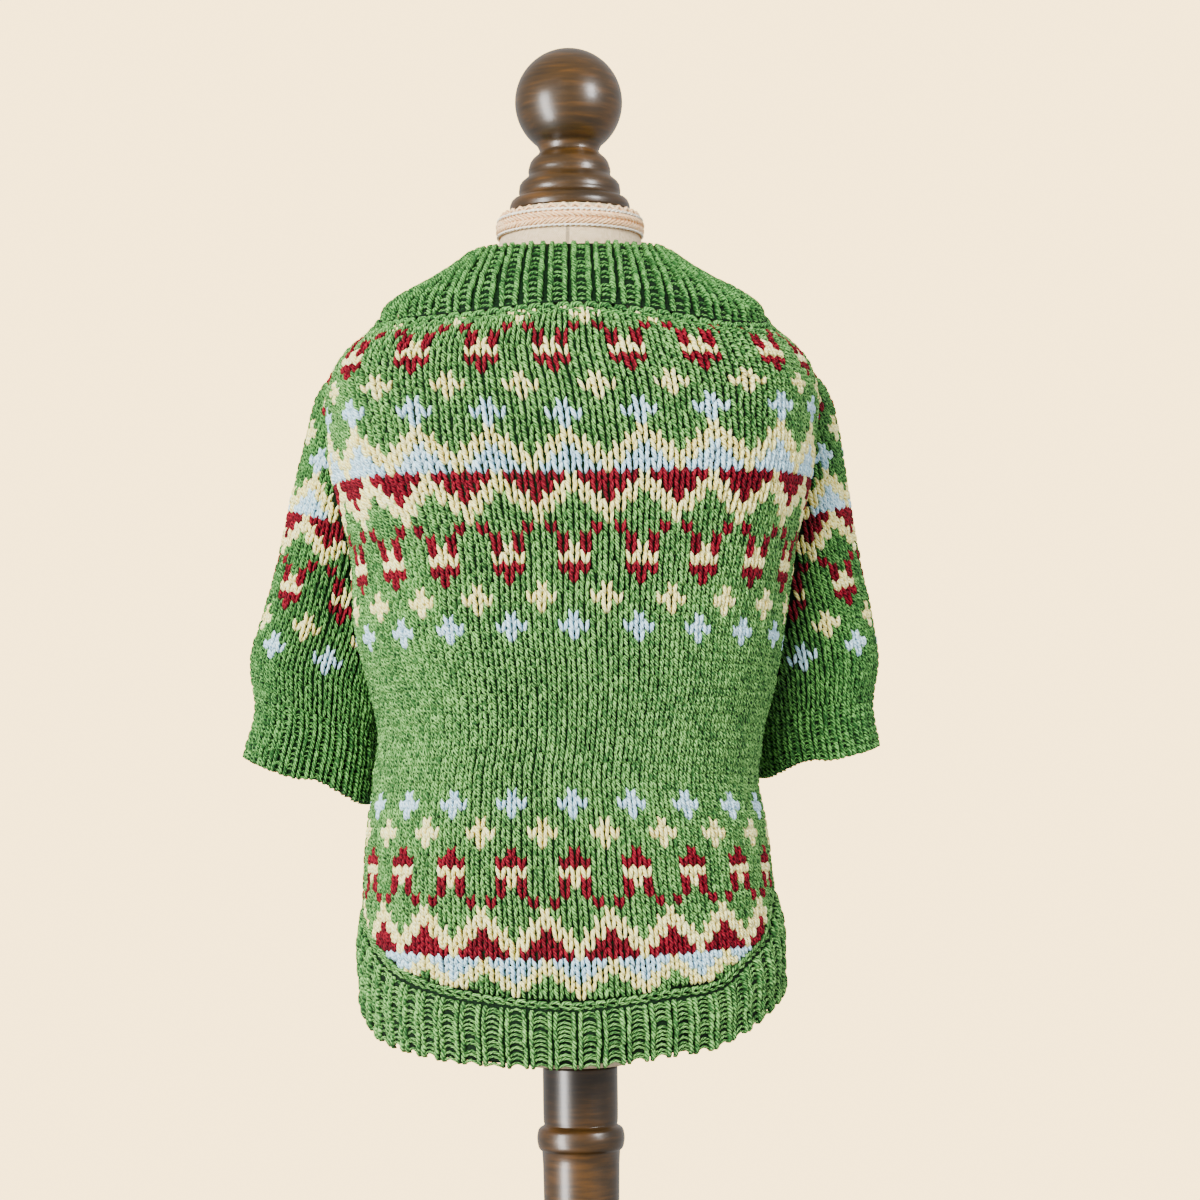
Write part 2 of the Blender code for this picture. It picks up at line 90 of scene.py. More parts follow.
def make_lights():
    aim = (0.0, 0.0, 0.27)
    make_light("key", (-0.72, -1.58, 1.05), aim, (0.9, 0.9), 113.0, (1.0, 0.98, 0.95), "diffuse")
    make_light("fill", (1.6, -0.5, 0.7), aim, (1.0, 1.0), 15.0, (0.96, 0.98, 1.0), "diffuse")
    make_light("back", (0.6, 1.5, 1.3), aim, (1.2, 1.2), 20.0, (1.0, 0.98, 0.96), "diffuse")
    make_light("strip", (-0.95, -0.75, 0.05), (0.0, 0.0, 0.2), (0.4, 1.2), 78.0, (1.0, 0.99, 0.97), "gloss")
    make_light("box", (0.95, -0.8, 0.75), (0.0, 0.0, 0.43), (0.34, 0.5), 36.0, (1.0, 1.0, 1.0), "gloss")
    world = bpy.data.worlds.new("studio")
    world.use_nodes = True
    world.node_tree.nodes["Background"].inputs["Color"].default_value = (1.0, 0.99, 0.97, 1.0)
    world.node_tree.nodes["Background"].inputs["Strength"].default_value = 0.9
    bpy.context.scene.world = world


STAGE_COLOUR = (1.0, 0.71, 0.321)
STAGE_GLOW = 5.6


def make_stage():
    """A plain pale floor that rises far behind the part, lit from within so that it stays even."""
    radius = 6.0
    mesh = bpy.data.meshes.new("floor")
    shape = bmesh.new()
    bmesh.ops.create_grid(shape, x_segments=8, y_segments=8, size=radius)
    shape.to_mesh(mesh)
    shape.free()
    floor = bpy.data.objects.new("floor", mesh)
    bpy.context.scene.collection.objects.link(floor)
    wall_mesh = bpy.data.meshes.new("backdrop")
    shape = bmesh.new()
    bmesh.ops.create_cone(
        shape, cap_ends=False, segments=64, radius1=radius * 0.9, radius2=radius * 0.9, depth=8.0
    )
    shape.to_mesh(wall_mesh)
    shape.free()
    wall = bpy.data.objects.new("backdrop", wall_mesh)
    bpy.context.scene.collection.objects.link(wall)
    wall.location.z = 3.9
    for piece in (floor, wall):
        made = bpy.data.materials.new(piece.name)
        made.use_nodes = True
        tree = made.node_tree
        shader = tree.nodes["Principled BSDF"]
        shader.inputs["Base Color"].default_value = (0.0, 0.0, 0.0, 1.0)
        shader.inputs["Roughness"].default_value = 1.0
        shader.inputs["Specular IOR Level"].default_value = 0.0
        shader.inputs["Emission Color"].default_value = (*STAGE_COLOUR, 1.0)
        shader.inputs["Emission Strength"].default_value = STAGE_GLOW
        piece.visible_diffuse = False
        piece.visible_glossy = False
        piece.data.materials.append(made)
        piece.visible_shadow = False


make_camera()
make_lights()
make_stage()


# The cloth's surfaces, in millimetres and degrees, the same as in the solids

SEAM_GAP = 0.35
PANEL_WALL = 2.2
RIB_WALL = 2.8
SIDE_SEAM_ANGLE = 101.0

BODY_COLUMNS = ("z", "half_width", "half_depth", "centre_x")
BODY_ROWS = (
    (372.0, 47.0, 42.0, 0.0),
    (366.0, 55.6, 49.0, 0.0),
    (360.0, 62.8, 53.5, 0.0),
    (355.0, 68.6, 56.8, 0.0),
    (349.0, 72.4, 58.8, 0.0),
    (340.0, 74.3, 60.0, 0.0),
    (325.0, 73.5, 60.0, -0.3),
    (311.0, 70.9, 59.2, -0.2),
    (296.0, 67.3, 57.8, -0.3),
    (271.0, 64.6, 55.6, -1.5),
    (254.0, 61.0, 54.0, -1.0),
    (238.0, 57.8, 52.5, -1.8),
    (226.0, 58.0, 51.7, -3.3),
    (213.0, 60.1, 51.2, -3.1),
    (200.0, 61.3, 51.0, -3.0),
    (180.0, 62.4, 50.4, -2.2),
    (140.0, 63.0, 49.5, -1.5),
)
COLLAR_SEAM_COLUMNS = ("angle", "z")
COLLAR_SEAM_ROWS = (
    (-180.0, 365.0),
    (-120.0, 365.5),
    (-90.0, 365.2),
    (-60.0, 361.0),
    (-30.0, 360.3),
    (0.0, 362.0),
    (20.0, 360.5),
    (42.0, 357.6),
    (60.0, 359.0),
    (90.0, 365.0),
    (120.0, 365.5),
    (180.0, 365.0),
)
HEM_COLUMNS = ("angle", "z", "height")
HEM_ROWS = (
    (-180.0, 207.0, 22.0),
    (-150.0, 205.8, 22.5),
    (-120.0, 203.4, 25.5),
    (-101.0, 198.0, 30.0),
    (-90.0, 191.5, 28.0),
    (-75.0, 184.0, 27.0),
    (-65.0, 178.6, 25.8),
    (-56.0, 174.0, 23.5),
    (-48.5, 171.3, 22.0),
    (-34.0, 167.7, 20.5),
    (-18.0, 165.3, 19.3),
    (0.0, 163.8, 18.4),
    (28.0, 166.6, 18.3),
    (38.0, 167.4, 18.2),
    (45.0, 169.3, 18.1),
    (50.0, 172.4, 19.6),
    (56.0, 176.0, 21.0),
    (67.0, 181.2, 22.0),
    (71.0, 185.4, 25.1),
    (77.0, 191.0, 29.5),
    (90.0, 196.6, 31.6),
    (101.0, 198.0, 30.0),
    (120.0, 203.4, 25.5),
    (150.0, 205.8, 22.5),
    (180.0, 207.0, 22.0),
)
COLLAR_COLUMNS = ("along", "inward", "upward")
COLLAR_ROWS = (
    (0.0, 0.0, 0.0),
    (0.2, 0.04, 0.19),
    (0.4, 0.22, 0.42),
    (0.7, 0.60, 0.72),
    (1.0, 1.0, 1.0),
)
COLLAR_TOP_HALF_WIDTH = 33.5
COLLAR_TOP_HALF_DEPTH = 25.0
COLLAR_TOP_COLUMNS = ("angle", "z")
COLLAR_TOP_ROWS = ((0.0, 385.2), (45.0, 385.6), (90.0, 382.8), (180.0, 383.6))
COLLAR_TOP_CROWDING = 0.4
COLLAR_TOP_SECOND_CROWDING = 0.13
SLEEVE_COLUMNS = ("outer_x", "outer_z", "tilt", "half_width", "centre_y", "half_depth")
SLEEVE_ROWS = {
    "left": (
        (60.0, 357.0, 66.0, 22.0, 22.0, 18.0),
        (69.0, 355.4, 58.0, 22.0, 23.0, 18.5),
        (75.6, 351.2, 46.0, 22.0, 24.0, 19.0),
        (79.6, 345.4, 32.0, 22.0, 25.0, 19.5),
        (83.6, 331.0, 20.0, 22.0, 26.0, 20.0),
        (88.0, 313.9, 17.0, 22.0, 26.5, 20.0),
        (92.2, 295.4, 17.0, 22.0, 27.0, 20.0),
        (96.2, 281.0, 17.0, 22.0, 27.5, 20.0),
        (101.0, 264.0, 17.0, 22.0, 28.0, 20.0),
        (99.8, 250.8, 18.0, 20.4, 28.0, 19.0),
        (103.7, 236.0, 19.0, 21.5, 28.0, 20.0),
    ),
    "right": (
        (60.0, 357.0, 66.0, 22.0, 22.0, 18.0),
        (70.0, 355.2, 58.0, 22.0, 23.0, 18.5),
        (75.8, 350.4, 46.0, 22.0, 24.0, 19.0),
        (79.8, 344.4, 32.0, 22.0, 25.0, 19.5),
        (83.0, 330.5, 20.0, 22.0, 26.0, 20.0),
        (85.4, 314.0, 16.0, 22.0, 26.5, 20.0),
        (88.4, 294.0, 15.0, 22.0, 27.0, 20.0),
        (91.6, 278.5, 15.0, 22.0, 27.5, 20.0),
        (93.7, 263.0, 14.0, 21.5, 28.0, 20.0),
        (92.0, 249.0, 13.0, 19.6, 28.0, 19.0),
        (94.0, 237.0, 12.0, 20.0, 28.0, 20.0),
    ),
}
SLEEVE_END = float(len(SLEEVE_ROWS["left"]) - 1)
CUFF_START = SLEEVE_END - 1.25


class Curve:
    """A smooth curve through the points of a table, with no overshoot between them."""

    def __init__(self, rows, columns, key, name):
        xs = np.array([row[columns.index(key)] for row in rows], float)
        ys = np.array([row[columns.index(name)] for row in rows], float)
        order = np.argsort(xs)
        self.xs = xs[order]
        self.ys = ys[order]
        self.steps = np.diff(self.xs)
        slopes = np.diff(self.ys) / self.steps
        self.tangents = np.zeros(len(xs))
        self.tangents[0] = slopes[0]
        self.tangents[-1] = slopes[-1]
        for i in range(1, len(xs) - 1):
            if slopes[i - 1] * slopes[i] > 0.0:
                self.tangents[i] = 2.0 * slopes[i - 1] * slopes[i] / (slopes[i - 1] + slopes[i])

    def __call__(self, at):
        at = np.clip(at, self.xs[0], self.xs[-1])
        k = np.clip(np.searchsorted(self.xs, at, side="right") - 1, 0, len(self.steps) - 1)
        step = self.steps[k]
        t = (at - self.xs[k]) / step
        start = (1 + 2 * t) * (1 - t) ** 2 * self.ys[k] + t * (1 - t) ** 2 * step * self.tangents[k]
        end = t * t * (3 - 2 * t) * self.ys[k + 1] + t * t * (t - 1) * step * self.tangents[k + 1]
        return start + end


body_half_width = Curve(BODY_ROWS, BODY_COLUMNS, "z", "half_width")
body_half_depth = Curve(BODY_ROWS, BODY_COLUMNS, "z", "half_depth")
body_centre_x = Curve(BODY_ROWS, BODY_COLUMNS, "z", "centre_x")
collar_seam_curve = Curve(COLLAR_SEAM_ROWS, COLLAR_SEAM_COLUMNS, "angle", "z")
hem_seam_curve = Curve(HEM_ROWS, HEM_COLUMNS, "angle", "z")
hem_height_curve = Curve(HEM_ROWS, HEM_COLUMNS, "angle", "height")
collar_inward = Curve(COLLAR_ROWS, COLLAR_COLUMNS, "along", "inward")
collar_upward = Curve(COLLAR_ROWS, COLLAR_COLUMNS, "along", "upward")
collar_top_curve = Curve(COLLAR_TOP_ROWS, COLLAR_TOP_COLUMNS, "angle", "z")


def wrapped(angle):
    """The same angles between -180 and 180."""
    return (angle + 180.0) % 360.0 - 180.0


def stacked(x, y, z):
    return np.stack(np.broadcast_arrays(x, y, z), axis=-1)


def collar_seam_z(angle):
    return collar_seam_curve(wrapped(angle))


def hem_seam_z(angle):
    return hem_seam_curve(wrapped(angle))


def body_surface(angle, z):
    """Points on the outside of the knitted body, and the axis points inside them."""
    turn = np.radians(angle)
    centre = body_centre_x(z)
    x = centre + body_half_width(z) * np.sin(turn)
    y = -body_half_depth(z) * np.cos(turn)
    return stacked(x, y, z), stacked(centre, 0.0, z)


def panel_surface(angle, along):
    """The body between its two seams: along is 0 at the hem seam and 1 at the collar seam."""
    low = hem_seam_z(angle)
    return body_surface(angle, low + (collar_seam_z(angle) - low) * along)


def hem_surface(angle, along):
    """The hem band, from its seam at 0 down to its edge at 1, with a slight flare."""
    seam = hem_seam_z(angle) - SEAM_GAP
    height = hem_height_curve(wrapped(angle))
    point, inside = body_surface(angle, seam - height * along)
    flare = 1.0 + 0.035 * np.sin(math.pi * np.clip(along, 0.0, 0.75))
    return stacked(point[..., 0] * flare, point[..., 1] * flare, point[..., 2]), inside


def collar_surface(angle, along):
    """The collar, from its seam at 0 to the neck edge at 1. The angle is that of the seam."""
    seam = body_surface(angle, collar_seam_z(angle))[0]
    turn = np.radians(wrapped(angle))
    top_turn = turn + COLLAR_TOP_CROWDING * np.sin(turn) + COLLAR_TOP_SECOND_CROWDING * np.sin(2.0 * turn)
    top_z = collar_top_curve(np.abs(np.degrees(top_turn)))
    inward = collar_inward(along)
    upward = collar_upward(along)
    seam_z = seam[..., 2] + SEAM_GAP
    x = seam[..., 0] + (COLLAR_TOP_HALF_WIDTH * np.sin(top_turn) - seam[..., 0]) * inward
    y = seam[..., 1] + (-COLLAR_TOP_HALF_DEPTH * np.cos(top_turn) - seam[..., 1]) * inward
    z = seam_z + (top_z - seam_z) * upward
    return stacked(x, y, z), stacked(0.0, 0.0, z - 30.0)


sleeve_curves = {}
for side, side_rows in SLEEVE_ROWS.items():
    numbered = tuple((float(k), *row) for k, row in enumerate(side_rows))
    sleeve_curves[side] = {
        name: Curve(numbered, ("station", *SLEEVE_COLUMNS), "station", name) for name in SLEEVE_COLUMNS
    }


def sleeve_surface(side):
    """The sleeve tube: turn is 0 at its outer line and 90 at its front, station a row of its table."""
    curves = sleeve_curves[side]
    sign = -1.0 if side == "left" else 1.0

    def surface(turn, station):
        tilt = np.radians(curves["tilt"](station))
        half_width = curves["half_width"](station)
        across_x = np.cos(tilt) * half_width
        across_z = np.sin(tilt) * half_width
        centre_x = curves["outer_x"](station) - across_x
        centre_z = curves["outer_z"](station) - across_z
        centre_y = curves["centre_y"](station)
        angle = np.radians(turn)
        x = (centre_x + across_x * np.cos(angle)) * sign
        y = centre_y - curves["half_depth"](station) * np.sin(angle)
        z = centre_z + across_z * np.cos(angle)
        return stacked(x, y, z), stacked(centre_x * sign, centre_y, centre_z)

    return surface


def placed(surface, u, v, level, step_u=0.4, step_v=0.01):
    """Points of a surface, each moved out along the normal by its level, and the normals."""
    point, inside = surface(u, v)
    along_u = surface(u + step_u, v)[0] - surface(u - step_u, v)[0]
    along_v = surface(u, v + step_v)[0] - surface(u, v - step_v)[0]
    normal = np.cross(along_u, along_v)
    normal /= np.linalg.norm(normal, axis=-1, keepdims=True) + 1e-12
    sign = np.sign(np.sum(normal * (point - inside), axis=-1, keepdims=True))
    normal = normal * sign
    return point + normal * np.asarray(level)[..., None], normal


# Meshes

def quad_mesh(name, points, quads, maker, uv=None, tone=None, smooth=True):
    """A piece from points in millimetres and four-cornered faces, with UVs kept by point."""
    mesh = bpy.data.meshes.new(name)
    mesh.vertices.add(len(points))
    mesh.vertices.foreach_set("co", (points * MM).astype(np.float32).ravel())
    mesh.loops.add(quads.size)
    mesh.loops.foreach_set("vertex_index", quads.astype(np.int32).ravel())
    mesh.polygons.add(len(quads))
    mesh.polygons.foreach_set("loop_start", np.arange(0, quads.size, 4, dtype=np.int32))
    mesh.update(calc_edges=True)
    for label, values in (("UVMap", uv), ("tone", tone)):
        if values is not None:
            layer = mesh.uv_layers.new(name=label)
            layer.data.foreach_set("uv", values[quads.ravel()].astype(np.float32).ravel())
    if smooth:
        mesh.shade_smooth()
    mesh.materials.append(maker)
    made = bpy.data.objects.new(name, mesh)
    bpy.context.scene.collection.objects.link(made)
    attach(made, "root")
    return made


def grid_quads(rings, around, closed_rings=False, closed_around=True):
    """Faces between rings of points, ring by ring."""
    i, j = np.meshgrid(
        np.arange(rings if closed_rings else rings - 1),
        np.arange(around if closed_around else around - 1),
        indexing="ij",
    )
    above = (i + 1) % rings
    right = (j + 1) % around
    corners = (i * around + j, i * around + right, above * around + right, above * around + j)
    return np.stack(corners, axis=-1).reshape(-1, 4)


# The strand's section: how far across and how far down from its crest, in half widths and depths
SECTION = np.array(((-1.0, -1.0), (-0.55, -0.1), (0.55, -0.1), (1.0, -1.0)))
SECTION_U = np.array((0.0, 0.28, 0.72, 1.0))


class Yarn:
    """Strands of yarn gathered for one piece, each laid on a surface as a low rounded strip."""

    def __init__(self):
        self.points = []
        self.quads = []
        self.uv = []
        self.tone = []
        self.count = 0

    def lay(self, surface, u, v, level, width, depth=1.15, step_u=0.4, step_v=0.01):
        """Strands from arrays of surface places, one row for each strand, foot to head."""
        strands, stops = u.shape
        if strands == 0:
            return
        centre, normal = placed(surface, u, v, level, step_u, step_v)
        tangent = np.gradient(centre, axis=1)
        tangent /= np.linalg.norm(tangent, axis=-1, keepdims=True) + 1e-12
        side = np.cross(tangent, normal)
        width = np.broadcast_to(width, u.shape)
        across = side[:, :, None, :] * (SECTION[None, None, :, 0] * width[:, :, None])[..., None]
        down = normal[:, :, None, :] * (SECTION[:, 1] * depth)[None, None, :, None]
        points = centre[:, :, None, :] + across + down
        corners = len(SECTION)
        local = grid_quads(stops, corners)
        caps = np.array((
            [3, 2, 1, 0],
            [(stops - 1) * corners + k for k in range(corners)],
        ))
        local = np.concatenate((local, caps))
        starts = self.count + np.arange(strands) * stops * corners
        self.quads.append((local[None] + starts[:, None, None]).reshape(-1, 4))
        self.points.append(points.reshape(-1, 3))
        lengths = np.linalg.norm(np.diff(centre, axis=1), axis=-1)
        along = np.concatenate((np.zeros((strands, 1)), np.cumsum(lengths, axis=1)), axis=1)
        along = along + rng.uniform(0.0, 40.0, (strands, 1))
        uv = np.empty((strands, stops, corners, 2))
        uv[..., 0] = SECTION_U
        uv[..., 1] = along[:, :, None]
        self.uv.append(uv.reshape(-1, 2))
        tone = np.empty((strands, stops, corners, 2))
        tone[...] = rng.uniform(0.0, 1.0, (strands, 1, 1, 2))
        self.tone.append(tone.reshape(-1, 2))
        self.count += strands * stops * corners

    def piece(self, name, maker):
        """The gathered strands as one piece."""
        if not self.count:
            return None
        return quad_mesh(
            name,
            np.concatenate(self.points),
            np.concatenate(self.quads),
            maker,
            np.concatenate(self.uv),
            np.concatenate(self.tone),
        )


# Materials

def linear(colour):
    """A screen colour, 0 to 255 a channel, as the shader's linear one."""
    made = []
    for value in colour:
        share = value / 255.0
        made.append(share / 12.92 if share <= 0.04045 else ((share + 0.055) / 1.055) ** 2.4)
    return (*made, 1.0)


class Nodes:
    """A short way to write a material's node tree."""

    def __init__(self, name):
        self.material = bpy.data.materials.new(name)
        self.material.use_nodes = True
        self.tree = self.material.node_tree
        self.shader = self.tree.nodes["Principled BSDF"]

    def add(self, kind, inputs, **settings):
        node = self.tree.nodes.new(kind)
        for key, value in settings.items():
            setattr(node, key, value)
        for socket, value in inputs.items():
            if isinstance(value, bpy.types.NodeSocket):
                self.tree.links.new(value, node.inputs[socket])
            else:
                node.inputs[socket].default_value = value
        return node

    def math(self, operation, first, second=0.0):
        return self.add("ShaderNodeMath", {0: first, 1: second}, operation=operation).outputs[0]

    def weighted(self, pairs, start=0.0):
        """A start value plus each value times its weight."""
        total = start
        for value, weight in pairs:
            total = self.math("ADD", self.math("MULTIPLY", value, weight), total)
        return total

    def map(self, name):
        made = self.add("ShaderNodeUVMap", {}, uv_map=name).outputs[0]
        parts = self.add("ShaderNodeSeparateXYZ", {0: made}).outputs
        return parts[0], parts[1]

    def noise(self, vector, scale, detail=2.0):
        return self.add(
            "ShaderNodeTexNoise", {"Vector": vector, "Scale": scale, "Detail": detail}
        ).outputs[0]

    def combined(self, x, y, z):
        return self.add("ShaderNodeCombineXYZ", {0: x, 1: y, 2: z}).outputs[0]

    def ramp(self, factor, stops):
        node = self.add("ShaderNodeValToRGB", {0: factor})
        elements = node.color_ramp.elements
        while len(elements) < len(stops):
            elements.new(1.0)
        for element, (place, colour) in zip(elements, stops):
            element.position = place
            element.color = linear(colour)
        return node.outputs[0]

    def finish(self, colour, height, distance, roughness, **uniform):
        self.tree.links.new(colour, self.shader.inputs["Base Color"])
        bump = self.add("ShaderNodeBump", {"Height": height, "Distance": distance, "Strength": 1.0})
        self.tree.links.new(bump.outputs[0], self.shader.inputs["Normal"])
        self.shader.inputs["Roughness"].default_value = roughness
        for key, value in uniform.items():
            self.shader.inputs[key.replace("_", " ")].default_value = value
        return self.material


TWIST_ACROSS = 2.0
TWIST_ALONG = 0.75


def yarn_material(name, low, middle, high, depth=0.00038):
    """Two-ply wool: slanting plies with painted highlight and shade, fine fibres along them that are partly
    the wool's heathered tone and partly painted fine highlights, a slightly different tone each strand, and
    painted shade on each strand's sides.
    """
    nodes = Nodes(name)
    across, along = nodes.map("UVMap")
    tone = nodes.map("tone")[0]
    # painted highlight and shade: the twisted plies' bright crests and dark grooves, carried in the colour as
    # well as in the bump
    phase = nodes.weighted(((along, TWIST_ALONG), (across, TWIST_ACROSS), (tone, 1.0)))
    ply = nodes.math("ABSOLUTE", nodes.math("SINE", nodes.math("MULTIPLY", phase, math.pi)))
    # the fibre streaks are partly the wool's heathered tone and partly painted fine highlights
    place = nodes.combined(
        nodes.math("MULTIPLY", phase, 1.5),
        nodes.math("MULTIPLY", along, 0.7),
        nodes.math("MULTIPLY", tone, 60.0),
    )
    fibres = nodes.noise(place, 1.2, 3.0)
    # painted shade: each strand darkens towards its sides, where its round section turns away from the light
    side = nodes.math("ABSOLUTE", nodes.math("SUBTRACT", nodes.math("MULTIPLY", across, 2.0), 1.0))
    edge = nodes.math("POWER", side, 3.0)
    # the colour factor mixes painted ply highlight and shade, fibre streaks, each strand's own tone and the
    # painted shade of the sides
    factor = nodes.weighted(((ply, 0.55), (fibres, 1.8), (tone, 0.3), (edge, -0.6)), -0.79)
    # the ramp runs from painted shade at low, through the yarn's colour at middle, to painted highlight at
    # high
    colour = nodes.ramp(factor, ((0.08, low), (0.5, middle), (0.92, high)))
    height = nodes.weighted(((ply, 0.8), (fibres, 0.6)))
    return nodes.finish(
        colour, height, depth, 0.85,
        Specular_IOR_Level=0.1, Sheen_Weight=0.18, Sheen_Roughness=0.5,
        Sheen_Tint=linear(high),
    )


def painted_shade_ground_material():
    """Painted shade: the dark depth between the stitches, with the shadowed strands that show there, given as
    the ground's colour.
    """
    nodes = Nodes("knit_ground_painted_shade")
    across, along = nodes.map("UVMap")
    fibres = nodes.noise(nodes.combined(across, along, 0.0), 1.4, 4.0)
    # painted shade: these dark greens stand for the shadow between the stitches, not for a colour of the yarn
    colour = nodes.ramp(fibres, ((0.3, (6, 18, 8)), (0.7, (16, 38, 18))))
    return nodes.finish(colour, fibres, 0.0004, 0.95, Specular_IOR_Level=0.1)


def linen_material():
    """Plain-woven linen with slubs in both directions."""
    nodes = Nodes("linen_weave")
    across, along = nodes.map("UVMap")
    warp = nodes.math("SINE", nodes.math("MULTIPLY", across, TAU / 0.96))
    weft = nodes.math("SINE", nodes.math("MULTIPLY", along, TAU / 0.9))
    weave = nodes.math("MULTIPLY", warp, weft)
    slubs_along = nodes.noise(nodes.combined(nodes.math("MULTIPLY", across, 3.0), along, 0.0), 0.5, 3.0)
    slubs_across = nodes.noise(nodes.combined(across, nodes.math("MULTIPLY", along, 3.0), 9.0), 0.5, 3.0)
    factor = nodes.weighted(((weave, 0.24), (slubs_along, 0.55), (slubs_across, 0.55)), -0.05)
    colour = nodes.ramp(factor, ((0.15, (158, 134, 100)), (0.5, (211, 187, 146)), (0.85, (232, 214, 182))))
    height = nodes.weighted(((weave, 0.5), (slubs_along, 0.6), (slubs_across, 0.6)))
    return nodes.finish(colour, height, 0.00016, 0.9, Specular_IOR_Level=0.2, Sheen_Weight=0.15)


def walnut_material():
    """Dark walnut under a satin varnish: fine ripples round the turning, and broad amber patches."""
    nodes = Nodes("walnut_grain")
    place = nodes.add("ShaderNodeTexCoord", {}).outputs["Object"]
    wide = nodes.add("ShaderNodeMapping", {"Vector": place, "Scale": (20.0, 20.0, 30.0)}).outputs[0]
    rings = nodes.add("ShaderNodeMapping", {"Vector": place, "Scale": (60.0, 60.0, 480.0)}).outputs[0]
    patches = nodes.noise(wide, 1.6, 2.0)
    ripples = nodes.noise(rings, 1.6, 3.0)
    factor = nodes.weighted(((patches, 0.8), (ripples, 0.6)), -0.2)
    colour = nodes.ramp(factor, ((0.3, (34, 22, 5)), (0.5, (52, 34, 8)), (0.72, (82, 52, 13))))
    return nodes.finish(
        colour, ripples, 0.00006, 0.36, Specular_IOR_Level=0.3, Coat_Weight=0.2, Coat_Roughness=0.2
    )


green_yarn = yarn_material("yarn_green", (12, 38, 18), (50, 102, 48), (136, 194, 104))
# painted shade: a darker copy of the green yarn for the sleeves, cuffs, collar and collar chain, where the
# same yarn shows darker in shade
shaded_green_yarn = yarn_material("yarn_green_painted_shade", (9, 32, 14), (37, 86, 38), (108, 170, 86))
red_yarn = yarn_material("yarn_red", (44, 2, 9), (92, 6, 22), (146, 20, 42))
cream_yarn = yarn_material("yarn_cream", (216, 188, 96), (255, 246, 150), (255, 255, 196))
blue_yarn = yarn_material("yarn_blue", (132, 172, 196), (182, 226, 244), (220, 246, 254))
peach_yarn = yarn_material("yarn_peach", (212, 160, 110), (242, 194, 140), (252, 224, 182), 0.00012)
white_yarn = yarn_material("yarn_white", (214, 200, 170), (246, 238, 216), (253, 250, 240), 0.00012)
# the knit ground's colour is painted shade
ground = painted_shade_ground_material()
linen = linen_material()
walnut = walnut_material()
YARNS = {"green": green_yarn, "red": red_yarn, "cream": cream_yarn, "blue": blue_yarn}
# the sleeves' green is the darker copy of the green yarn: painted shade
SLEEVE_YARNS = {**YARNS, "green": shaded_green_yarn}


# Shells under the stitches, coloured with painted shade

STITCH_DEPTH = 1.3


def shell(name, surface, us, vs, outer, inner, closed, step_u=0.4, step_v=0.01):
    """A thin closed wall under the stitches, coloured with the knit ground's painted shade: a tube where it
    closes round, or else a sheet.
    """
    u_grid, v_grid = np.meshgrid(us, vs, indexing="ij")
    outside, inside = (
        placed(surface, u_grid, v_grid, np.full(u_grid.shape, level), step_u, step_v)[0]
        for level in (outer, inner)
    )
    loops = np.concatenate((outside, inside[:, ::-1]), axis=1)
    around = loops.shape[1]
    quads = grid_quads(len(us), around, closed_rings=closed)
    uv = np.empty((len(us), around, 2))
    width = np.linalg.norm(np.diff(outside[:, len(vs) // 2], axis=0), axis=-1).sum()
    length = np.linalg.norm(np.diff(outside[0], axis=0), axis=-1).sum()
    uv[..., 0] = np.linspace(0.0, width, len(us))[:, None]
    down = np.linspace(0.0, length, len(vs))
    uv[..., 1] = np.concatenate((down, down[::-1]))[None]
    if not closed:
        j = np.arange(len(vs) - 1)
        last = (len(us) - 1) * around
        first_cap = np.stack((j, j + 1, around - 2 - j, around - 1 - j), axis=-1)
        quads = np.concatenate((quads, first_cap[:, ::-1], first_cap + last))
    return quad_mesh(name, loops.reshape(-1, 3), quads, ground, uv.reshape(-1, 2))


BELLY_START = SIDE_SEAM_ANGLE + math.degrees(SEAM_GAP / BODY_ROWS[0][1])
ARMHOLE_MIDDLE_Z = 312.0
ARMHOLE_REACH = 25.0
ARMHOLE_SCOOP_ANGLE = 30.0


def armhole_scoop(z):
    """How far past the side seam the belly panel is cut away at a height."""
    across = (z - ARMHOLE_MIDDLE_Z) / ARMHOLE_REACH
    return ARMHOLE_SCOOP_ANGLE * np.sqrt(np.clip(1.0 - across**2, 0.0, 1.0))


def belly_surface(share, along):
    """The belly panel, from one side of it at 0 to the other at 1."""
    low = hem_seam_z(np.full_like(share, SIDE_SEAM_ANGLE))
    high = collar_seam_z(np.full_like(share, SIDE_SEAM_ANGLE))
    start = BELLY_START + armhole_scoop(low + (high - low) * along)
    return panel_surface(start + (360.0 - 2.0 * start) * share, along)


back_ground = shell(
    "back_ground", panel_surface, np.linspace(-SIDE_SEAM_ANGLE, SIDE_SEAM_ANGLE, 61),
    np.linspace(0.0, 1.0, 41), -STITCH_DEPTH, -PANEL_WALL, False,
)
belly_ground = shell(
    "belly_ground", belly_surface, np.linspace(0.0, 1.0, 41),
    np.linspace(0.0, 1.0, 61), -STITCH_DEPTH, -PANEL_WALL, False, 0.004,
)
RIB_DEPTH = 1.5
hem_ground = shell(
    "hem_ground", hem_surface, np.linspace(0.0, 360.0, 121)[:-1],
    np.linspace(-0.03, 0.95, 9), -RIB_DEPTH, -RIB_WALL, True,
)
collar_ground = shell(
    "collar_ground", collar_surface, np.linspace(0.0, 360.0, 121)[:-1],
    np.linspace(-0.01, 1.0, 13), -RIB_DEPTH, -RIB_WALL, True,
)

